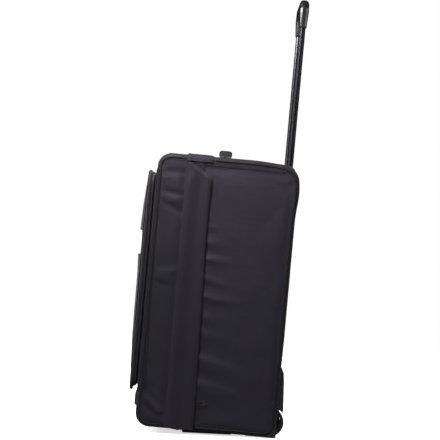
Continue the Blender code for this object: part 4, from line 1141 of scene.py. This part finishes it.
def plump(obj):
    """Blows the panel up a little as cloth, its edge and back held."""
    x, y, z = unworld([v.co for v in obj.data.vertices]).T
    held = (y > -0.3640) | (np.abs(x) > POCKET_X + 0.003) | (z < 0.092) | (z > 0.6185)
    settled(obj, held, 16, 1.0, 0.004, 3.0, 0, mass=0.2, tension_stiffness=12, compression_stiffness=12,
            bending_stiffness=0.3)


panel = pocket_panel()
panel_face = Surface(panel)


def pocket_dressing():
    """The pocket's side walls, the panel's stitched seam and corded rim, and the blank label."""
    wall = [(0.0, -0.3525), (0.0010, -0.3540), (0.0016, -0.3560), (0.0010, -0.3580), (0.0, PANEL_BACK),
            (-0.0028, PANEL_BACK), (-0.0028, -0.3525)]
    shape("pocket_gusset_fabric", swept(wall, 0.022, wobble=0.0007, seed=4.4), "pocket", "pocket",
          ("pocket_gusset",), 60)
    ring = round_rect(-0.0075, 0.016, 380)
    seam = panel_face.drop([(x, -0.42, z) for x, z in np.concatenate([ring, ring[:1]])], (0, 1, 0), THREAD_BED)
    sew("pocket_panel_stitches", "pocket", [seam], (0, -0.00018, 0))
    rim = panel_face.drop([(x, -0.42, z) for x, z in round_rect(0.0068, 0.026, 300)], (0, 1, 0), 0.0004)
    shape("pocket_panel_piping", tube(smoothed(rim, 3, True), 0.0016, 8, True, up=(0, 1, 0)), "pocket",
          "piping")
    xs, zs = np.linspace(0.102, 0.1738, 18), np.linspace(0.419, 0.477, 12)
    front = np.array([panel_face.drop([(x, -0.42, z) for x in xs], (0, 1, 0), 0.0015) for z in zs])
    ripple = np.array([[0.0002 * sin(x * 210) + 0.0002 * cos(z * 160) for x in xs] for z in zs])
    front[..., 1] -= ripple
    for k in (0, -1):
        front[k, :, 1] += 0.0006
        front[:, k, 1] += 0.0006
    back = front.copy()
    back[..., 1] += 0.0011
    shape("label_cloth", slab(front, back), "pocket", "label", ("label_patch",), 60)
    x0, x1, z0, z1 = 0.1045, 0.1712, 0.4215, 0.4745
    frame_line = [(x0, z0), (x0, z1), (x1, z1), (x1, z0), (x0, z0)]
    edge = panel_face.drop([(x, -0.42, z) for x, z in resample(frame_line, 0.002)], (0, 1, 0), 0.0017)
    shape("label_stitches", stitches([edge], (0, -0.00012, 0), 0.0026, 0.0018, 0.00026), "pocket", "label")


pocket_dressing()


# ---- zip sliders and pullers --------------------------------------------------------------------------------
def block(x, y, z, width, segments=2, taper=0.0):
    """A rounded block as (points, faces), narrowed along z towards its +y end by taper."""
    bm = bmesh.new()
    made = bmesh.ops.create_cube(bm, size=1.0)["verts"]
    size = [b - a for a, b in (x, y, z)]
    centre = [(a + b) / 2 for a, b in (x, y, z)]
    for v in made:
        v.co = Vector([c + p * s for c, p, s in zip(centre, v.co, size)])
        if taper and v.co.y > centre[1]:
            v.co.z = centre[2] + (v.co.z - centre[2]) * (1 - taper)
    bmesh.ops.bevel(bm, geom=bm.edges[:], offset=width, segments=segments, profile=0.6, affect="EDGES")
    points = np.array([tuple(v.co) for v in bm.verts])
    bm.verts.index_update()
    faces = [tuple(v.index for v in f.verts) for f in bm.faces]
    bm.free()
    return points, faces


def main_slider():
    z = 0.070
    parts = [
        block((0.1916, 0.1925), (ZIP_Y - 0.0058, ZIP_Y + 0.0058), (z - 0.0080, z + 0.0080), 0.0004),
        block((0.1925, 0.1935), (ZIP_Y - 0.0050, ZIP_Y + 0.0050), (z - 0.0070, z + 0.0070), 0.0005),
        tube([(0.1928, ZIP_Y, z - 0.005), (0.1938, ZIP_Y, z - 0.003), (0.1938, ZIP_Y, z + 0.003),
              (0.1928, ZIP_Y, z + 0.005)], 0.0009, 8, up=(0, 1, 0)),
    ]
    for s in (1, -1):
        loop = [(0.1932, ZIP_Y + 0.0005, z + s * 0.0022), (0.1924, -0.2150, z + s * 0.0020),
                (0.1923, -0.2075, z + s * 0.0016)]
        parts.append(tube(loop, 0.0009, 8))
    shape("main_slider_body", gather(parts), "main_slider", "slider", ("main_zip_slider",), 40)
    cords = []
    for shift in (-0.0040, 0.0040):
        line = [(0.1930, -0.2062, z + shift * 0.35), (0.1936, -0.2030, z + shift),
                (0.1938, -0.1950, z + shift), (0.1936, -0.1850, z + shift * 0.95),
                (0.1934, -0.1825, z + shift * 0.8)]
        cords.append(tube(smoothed(resample(line, 0.0016), 2), 0.00115, 8))
    cords.append(tube([(0.1930, -0.2058, z + a) for a in (-0.0016, 0, 0.0016)], 0.00115, 8, up=(1, 0, 0)))
    shape("main_puller_cord", gather(cords), "main_puller", "piping", ("main_zip_puller",), 60)
    grip = [block((0.1922, 0.1946), (-0.1842, -0.1785), (z - 0.0068, z + 0.0068), 0.0008, 3)]
    grip += [block((0.1928, 0.1940), (-0.1790, -0.1715), (z - 0.0022, z + 0.0022), 0.0005, 2, 0.3)]
    shape("main_puller_end", gather(grip), "main_puller", "plastic", smooth=40)


main_slider()


def pocket_slider():
    x, z = 0.117, 0.6128
    parts = [
        block((x - 0.0062, x + 0.0062), (-0.3536, -0.3520), (z - 0.0050, z + 0.0050), 0.0005),
        block((x - 0.0058, x + 0.0058), (-0.3518, -0.3480), (z + 0.0002, z + 0.0056), 0.0006),
        tube([(x, -0.3500, z + 0.0040), (x, -0.3500, z + 0.0072), (x, -0.3470, z + 0.0074),
              (x, -0.3470, z + 0.0046)], 0.0009, 8, up=(1, 0, 0)),
    ]
    shape("pocket_slider_body", gather(parts), "pocket_slider", "slider", ("pocket_zip_slider",), 40)
    tab = [block((x - 0.0040, x + 0.0040), (-0.3612, -0.3480), (z + 0.0060, z + 0.0084), 0.0007)]
    tab += [block((x - 0.0030, x + 0.0030), (y - 0.0005, y + 0.0005), (z + 0.0082, z + 0.0088), 0.0002, 1)
            for y in (-0.3595, -0.3570, -0.3545)]
    shape("pocket_puller_tab", gather(tab), "pocket_puller", "plastic", ("pocket_zip_puller",), 40)


pocket_slider()


# ---- carrying handles ---------------------------------------------------------------------------------------
STRAP_THICK = 0.0022


def arch(half_span, foot, rise, base):
    """(x, height) points of a strap flat at its ends and arched between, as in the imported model."""
    climb = half_span - foot - 0.030
    t = np.linspace(0, 1, 9)
    left = [(-half_span, base), (-half_span + foot, base)]
    left += [(-half_span + foot + climb * k, base + rise * (3 * k * k - 2 * k**3)) for k in t[1:]]
    return np.array(left + [(-x, h) for x, h in reversed(left)])


def strap(name, node, body, path, to_point, width):
    """A webbing strap: path pairs are (x, height), to_point turns (x, height, across) into the bag frame."""
    line, thick = smoothed(resample(path, 0.004), 2), STRAP_THICK
    rows_top, rows_low = [], []
    for k, (x, h) in enumerate(line):
        before, after = line[max(k - 1, 0)], line[min(k + 1, len(line) - 1)]
        along = (after - before) / np.hypot(*(after - before))
        nx, nh = -along[1], along[0]
        across = np.array([-0.5, -0.47, -0.40, -0.2, 0, 0.2, 0.40, 0.47, 0.5]) * width
        puff = np.array([-0.5, -0.15, 0, 0.05, 0.0, 0.05, 0, -0.15, -0.5]) * thick * 0.7
        at = list(zip(across, puff))
        rows_top.append([to_point(x + nx * (thick + p), h + nh * (thick + p), a) for a, p in at])
        rows_low.append([to_point(x - nx * min(p, 0), h - nh * min(p, 0), a) for a, p in at])
    shape(name, slab(rows_top, rows_low), body, "strap", (node,), 50)


TOP_Y, TOP_RISE, TOP_BASE = -0.1835, 0.0165, HEIGHT + 0.0003


def top_handle():
    path = arch(0.095, 0.022, TOP_RISE, TOP_BASE)
    strap("top_handle_webbing", "top_handle_strap", "bag", path, lambda x, h, a: (x, TOP_Y + a, h), 0.028)
    crown = TOP_BASE + TOP_RISE
    rings, ends, sides, corner = [], np.array([0.0262, 0.0280, 0.0288, 0.0290]), 28, 4.5
    for x in np.concatenate([-ends[::-1], np.linspace(-0.024, 0.024, 17), ends]):
        t = 1 - max(0.0, (abs(x) - 0.0262) / 0.0028) ** 2
        half_y, half_z = 0.0160 * (0.90 + 0.10 * t), 0.0076 * (0.7 + 0.3 * t)
        waist = 1 + 0.03 * cos(x * 260)
        a = 2 * pi * np.arange(sides) / sides
        c, s = np.cos(a), np.sin(a)
        fit = (np.abs(c) ** corner + np.abs(s) ** corner) ** (-1 / corner)
        y = TOP_Y + half_y * c * fit * waist * (1 - 0.09 * np.maximum(0, s))
        rings.append(np.column_stack([np.full(sides, x), y, crown - 0.0008 + half_z * s * fit * waist]))
    pad = shape("top_handle_wrap", ring_body(np.array(rings)), "bag", "pad", ("top_handle_grip",), 50)
    pad_face = Surface(pad)
    rows = [pad_face.drop([(x, TOP_Y + a, 0.72) for x in np.linspace(-0.026, 0.026, 14)], (0, 0, -1),
                          THREAD_BED)
            for a in (-0.0115, 0.0115)]
    sew("top_handle_wrap_stitches", "bag", rows, (0, 0, THREAD_LIFT))
    profile = [(0.0, 0.0038), (0.0006, 0.0038), (0.0013, 0.0031), (0.0017, 0.0019), (0.0018, 0.0006)]
    around, z0 = 2 * pi * np.arange(20) / 20, TOP_BASE + STRAP_THICK + 0.0028
    rivets = []
    for x in (-0.0865, 0.0865):
        for y in (TOP_Y - 0.0085, TOP_Y + 0.0085):
            rings = [[(x + r * cos(k), y + r * sin(k), z0 + h) for k in around] for h, r in profile]
            rivets.append(ring_body(np.array(rings)))
    shape("top_handle_rivets", gather(rivets), "bag", "steel", smooth=40)


top_handle()


def lower_handle():
    """The strap low on the front, sewn down with a crossed box at each end."""
    base = 0.0003 - LID_FRONT
    path = arch(0.085, 0.020, 0.0085, base)
    mid = 0.051
    strap("lower_handle_webbing", "lower_handle", "lid", path, lambda x, h, a: (x, -h, mid + a), 0.032)
    rows = []
    for side in (-1, 1):
        corners = ((0.0835, -0.0132), (0.0665, -0.0132), (0.0665, 0.0132), (0.0835, 0.0132))
        box = [(side * x, mid + z) for x, z in corners]
        for a, b in zip(box, box[1:] + box[:1]):
            rows.append([(x, -(base + 0.0024), z) for x, z in (a, b)])
        rows += [[(x, -(base + 0.0025), z) for x, z in cross] for cross in (box[::2], box[1::2])]
    sew("lower_handle_stitches", "lid", rows, (0, -0.0002, 0), 0.0036, 0.0026, 0.0004)


lower_handle()


# ---- lining -------------------------------------------------------------------------------------------------
TUBE_X = 0.105


def lining():
    """The cloth panel that hides the pull handle's tubes, taut over them and slack between."""
    half, low, high = 0.1845, 0.0875, 0.655
    xs, zs = np.linspace(-half, half, 75), np.linspace(low, high, 100)
    rows, backs = [], []
    for z in zs:
        bulge = 0.0022 * sum(bell((xs - s * TUBE_X) / 0.017) for s in (1, -1))
        broad = np.array([noise.noise(Vector((x * 16, 2.2, z * 11))) for x in xs])
        fine = np.array([noise.noise(Vector((x * 40, 5.2, z * 26))) for x in xs])
        edge = np.minimum(1, (half - np.abs(xs)) / 0.02) * min(1, (z - low) / 0.02, (high - z) / 0.02)
        y = -0.0400 - (bulge + 0.0012 * (broad + 0.5 * fine)) * edge
        rows.append(np.column_stack([xs, y, np.full(len(xs), z)]))
        backs.append(np.column_stack([xs, y + 0.0010, np.full(len(xs), z)]))
    obj = shape("tube_lining", slab(rows, backs), "bag", "lining", ("trolley_cover_panel",), 60)
    face = Surface(obj)
    lines = [face.drop([(x, -0.09, z) for z in np.linspace(0.10, 0.645, 60)], (0, 1, 0), THREAD_BED)
             for x in (-0.176, 0.0, 0.176)]
    lines += [face.drop([(x, -0.09, z) for x in np.linspace(-0.176, 0.176, 60)], (0, 1, 0), THREAD_BED)
              for z in (0.100, 0.645)]
    sew("tube_lining_stitches", "bag", lines, (0, -THREAD_LIFT, 0), 0.006, 0.004)


lining()


# ---- wheels -------------------------------------------------------------------------------------------------
def mirrored(half_outline):
    """A closed outline from (x, radius) pairs on one side of its middle."""
    return half_outline + [(-x, r) for x, r in reversed(half_outline)]


def wheel(word, side):
    """A tyre with a grooved tread on a hub with six ribs on each face."""
    centre, half = 0.148 * side, 0.0125
    profile = mirrored([(half, 0.0284), (half, 0.0312), (half - 0.0004, 0.0330), (half - 0.0016, 0.0348),
                        (half - 0.0034, 0.0357), (half - 0.0060, 0.0360), (0.0030, 0.0360), (0.0024, 0.0354)])
    shape(f"tyre_rubber_{word}", lathe([(centre + x, r) for x, r in profile], (WHEEL_Y, WHEEL_Z), 96),
          f"wheel_{word}", "tyre", (f"tyre_{word}",), 40)
    rim, seat, bore = half - 0.0015, 0.0037, 0.0113
    core = mirrored([(seat, 0.0085), (seat, bore), (rim, bore), (rim, 0.0130), (rim - 0.0006, 0.0137),
                     (rim - 0.0050, 0.0152), (rim - 0.0056, 0.0165), (rim - 0.0056, 0.0222),
                     (rim - 0.0050, 0.0235), (rim - 0.0006, 0.0248), (rim, 0.0256), (rim, 0.0276),
                     (rim - 0.0005, 0.0281)])
    parts = [lathe([(centre + x, r) for x, r in core], (WHEEL_Y, WHEEL_Z), 64)]
    for face in (-1, 1):
        for k in range(6):
            a = 2 * pi * k / 6
            span = sorted((centre + face * (rim - 0.0058), centre + face * (rim - 0.0016)))
            points, faces = block(span, (-0.0013, 0.0013), (0.0140, 0.0246), 0.0004)
            y, z = points[:, 1].copy(), points[:, 2].copy()
            points[:, 1], points[:, 2] = WHEEL_Y + y * cos(a) - z * sin(a), WHEEL_Z + y * sin(a) + z * cos(a)
            parts.append((points, faces))
    shape(f"hub_spoked_{word}", gather(parts), f"wheel_{word}", "plastic", (f"hub_{word}",), 35)


for word, side in (("left", -1), ("right", 1)):
    wheel(word, side)


# ---- guards: raised ribs on the scuff plates ----------------------------------------------------------------
def guard_ribs(word, side):
    rise = ((0.0126, 0.066), (0.0114, 0.092), (0.0095, 0.120), (0.0075, 0.148), (0.0058, 0.160))
    parts = []
    for x in (0.128, 0.138, 0.158, 0.168):
        line = [(side * x, y + 0.0003, z) for y, z in rise]
        parts.append(tube(smoothed(resample(line, 0.004), 2), 0.0013, 8))
    shape(f"guard_ribs_{word}", gather(parts), "bag", "gloss")


for word, side in (("left", -1), ("right", 1)):
    guard_ribs(word, side)


# ---- carried-over solids: finer edges and real finishes -----------------------------------------------------
FINISH = {
    "plastic": ("wheel_housing_left", "wheel_housing_right", "trolley_bezel", "tube_bracket", "tube_plug_left",
                "tube_plug_right",
                "top_handle_plate_left", "top_handle_plate_right", "foot_left", "foot_right"),
    "gloss": ("guard_left", "guard_right"),
    "grip": ("grip_body",),
    "button": ("grip_button",),
    "tube": ("outer_tube_left", "outer_tube_right", "inner_tube_left", "inner_tube_right"),
    "board": ("base_board",),
    "tyre": ("lock_shoe_left", "lock_shoe_right"),
    "steel": tuple(n for n in frame["nodes"]
                   if n.startswith(("axle_", "bearing_", "foot_screw_", "guard_screw_", "push_rod_"))),
}
for look, names in FINISH.items():
    for name in names:
        obj = frame["nodes"][name]
        obj.data.materials.clear()
        obj.data.materials.append(LOOKS[look])
        if name.startswith(("wheel_housing", "foot_l", "foot_r", "guard_l", "guard_r", "trolley_bezel",
                            "tube_bracket", "base_board")):
            soften(obj, 0.0009 if "housing" in name or "bezel" in name else 0.0007, 3)
        elif name.startswith(("foot_screw", "guard_screw", "axle", "grip_button", "top_handle_plate")):
            soften(obj, 0.0004, 2)
        else:
            obj.data.shade_smooth()
            obj.data.set_sharp_from_angle(angle=radians(35))


# ---- floor, light and camera --------------------------------------------------------------------------------
ROOM = (0.0, 0.06)  # the room's light from below and from above


def add_nodes(tree, *kinds):
    return [tree.nodes.new(f"ShaderNode{kind}") for kind in kinds]


def map_range(node, values):
    for socket, value in zip(("From Min", "From Max", "To Min", "To Max"), values):
        node.inputs[socket].default_value = value


def studio():
    """A pale floor, a white backdrop, a dim room and soft lights."""
    floor_look = bpy.data.materials.new("pale_floor")
    floor_look.use_nodes = True
    tree = floor_look.node_tree
    shader = tree.nodes["Principled BSDF"]
    shader.inputs["Roughness"].default_value = 0.9
    shader.inputs["Specular IOR Level"].default_value = 0.1
    shader.inputs["Emission Color"].default_value = (1, 1, 1, 1)
    coords, length, fade, path, glow, shade = add_nodes(
        tree, "TexCoord", "VectorMath", "MapRange", "LightPath", "Math", "MapRange")
    length.operation, glow.operation = "LENGTH", "MULTIPLY"
    map_range(fade, (0.5, 1.7, 0.66, 1.0))
    map_range(shade, (0, 1, 0.22, 0.9))
    for out, into in (
        (coords.outputs["Object"], length.inputs[0]),
        (length.outputs["Value"], fade.inputs["Value"]),
        (path.outputs["Is Camera Ray"], shade.inputs["Value"]),
        (shade.outputs["Result"], shader.inputs["Base Color"]),
        (path.outputs["Is Camera Ray"], glow.inputs[0]),
        (fade.outputs["Result"], glow.inputs[1]),
        (glow.outputs[0], shader.inputs["Emission Strength"]),
    ):
        tree.links.new(out, into)
    bm = bmesh.new()
    bmesh.ops.create_circle(bm, cap_ends=True, segments=96, radius=3.2)
    mesh = bpy.data.meshes.new("floor")
    bm.to_mesh(mesh)
    bm.free()
    mesh.materials.append(floor_look)
    placed("floor", mesh)

    # the camera sees a white backdrop; the case is lit by a dim room, brighter overhead
    surround = bpy.data.worlds.new("surround")
    surround.use_nodes = True
    tree = surround.node_tree
    room, out = tree.nodes["Background"], tree.nodes["World Output"]
    backdrop, mix, path, coords, split, rise = add_nodes(
        tree, "Background", "MixShader", "LightPath", "TexCoord", "SeparateXYZ", "MapRange")
    for background in (room, backdrop):
        background.inputs["Color"].default_value = (1, 1, 1, 1)
    backdrop.inputs["Strength"].default_value = 1.0
    map_range(rise, (-0.3, 1.0, *ROOM))
    for out_of, into in (
        (coords.outputs["Generated"], split.inputs[0]),
        (split.outputs["Z"], rise.inputs["Value"]),
        (rise.outputs["Result"], room.inputs["Strength"]),
        (path.outputs["Is Camera Ray"], mix.inputs[0]),
        (room.outputs[0], mix.inputs[1]),
        (backdrop.outputs[0], mix.inputs[2]),
        (mix.outputs[0], out.inputs["Surface"]),
    ):
        tree.links.new(out_of, into)
    bpy.context.scene.world = surround

    def softbox(name, location, target, size, power, glints=True):
        lamp = bpy.data.lights.new(name, "AREA")
        lamp.shape, lamp.size, lamp.size_y = "RECTANGLE", size[0], size[1]
        lamp.energy = power
        obj = placed(name, lamp)
        obj.location = location
        obj.visible_glossy = glints
        obj.rotation_mode = "QUATERNION"
        obj.rotation_quaternion = (Vector(target) - Vector(location)).to_track_quat("-Z", "Y")

    softbox("overhead_softbox", (0.58, -0.27, 1.30), (0.17, -0.04, 0.45), (0.35, 0.7), 19)
    softbox("left_strip", (2.3, -1.25, 0.80), (0.0, 0.0, 0.80), (0.16, 1.3), 5)
    softbox("right_strip", (2.3, 1.15, 0.80), (0.0, 0.0, 0.80), (0.12, 1.3), 5)
    softbox("front_softbox", (0.6, -2.0, 1.5), (0, -0.1, 0.45), (0.8, 1.4), 12)
    softbox("front_fill", (-0.3, -2.0, 1.3), (0, -0.2, 0.4), (0.8, 1.4), 36, False)
    softbox("rear_fill", (-0.6, 2.0, 1.3), (0, 0, 0.4), (0.8, 1.4), 40, False)
    softbox("far_fill", (-2.0, -0.2, 1.4), (-0.2, -0.1, 0.4), (0.8, 1.4), 44, False)
    softbox("back_softbox", (0.9, 1.7, 1.3), (0, 0.1, 0.4), (0.6, 1.2), 9)


def camera():
    """Level with the case's middle, square to its right side, and turned a little about its own axis."""
    roll = radians(2.8)
    data = bpy.data.cameras.new("camera")
    data.lens, data.sensor_width = 138.5, 36
    data.clip_end = 60
    cam = placed("camera", data)
    right, up, back = Vector((0, cos(roll), sin(roll))), Vector((0, -sin(roll), cos(roll))), Vector((1, 0, 0))
    turn = Matrix((right, up, back)).transposed().to_4x4()
    cam.matrix_world = Matrix.Translation((4.32, 0.0030, 0.527)) @ turn
    bpy.context.scene.camera = cam


studio()
camera()
bpy.context.scene.view_settings.view_transform = "Standard"
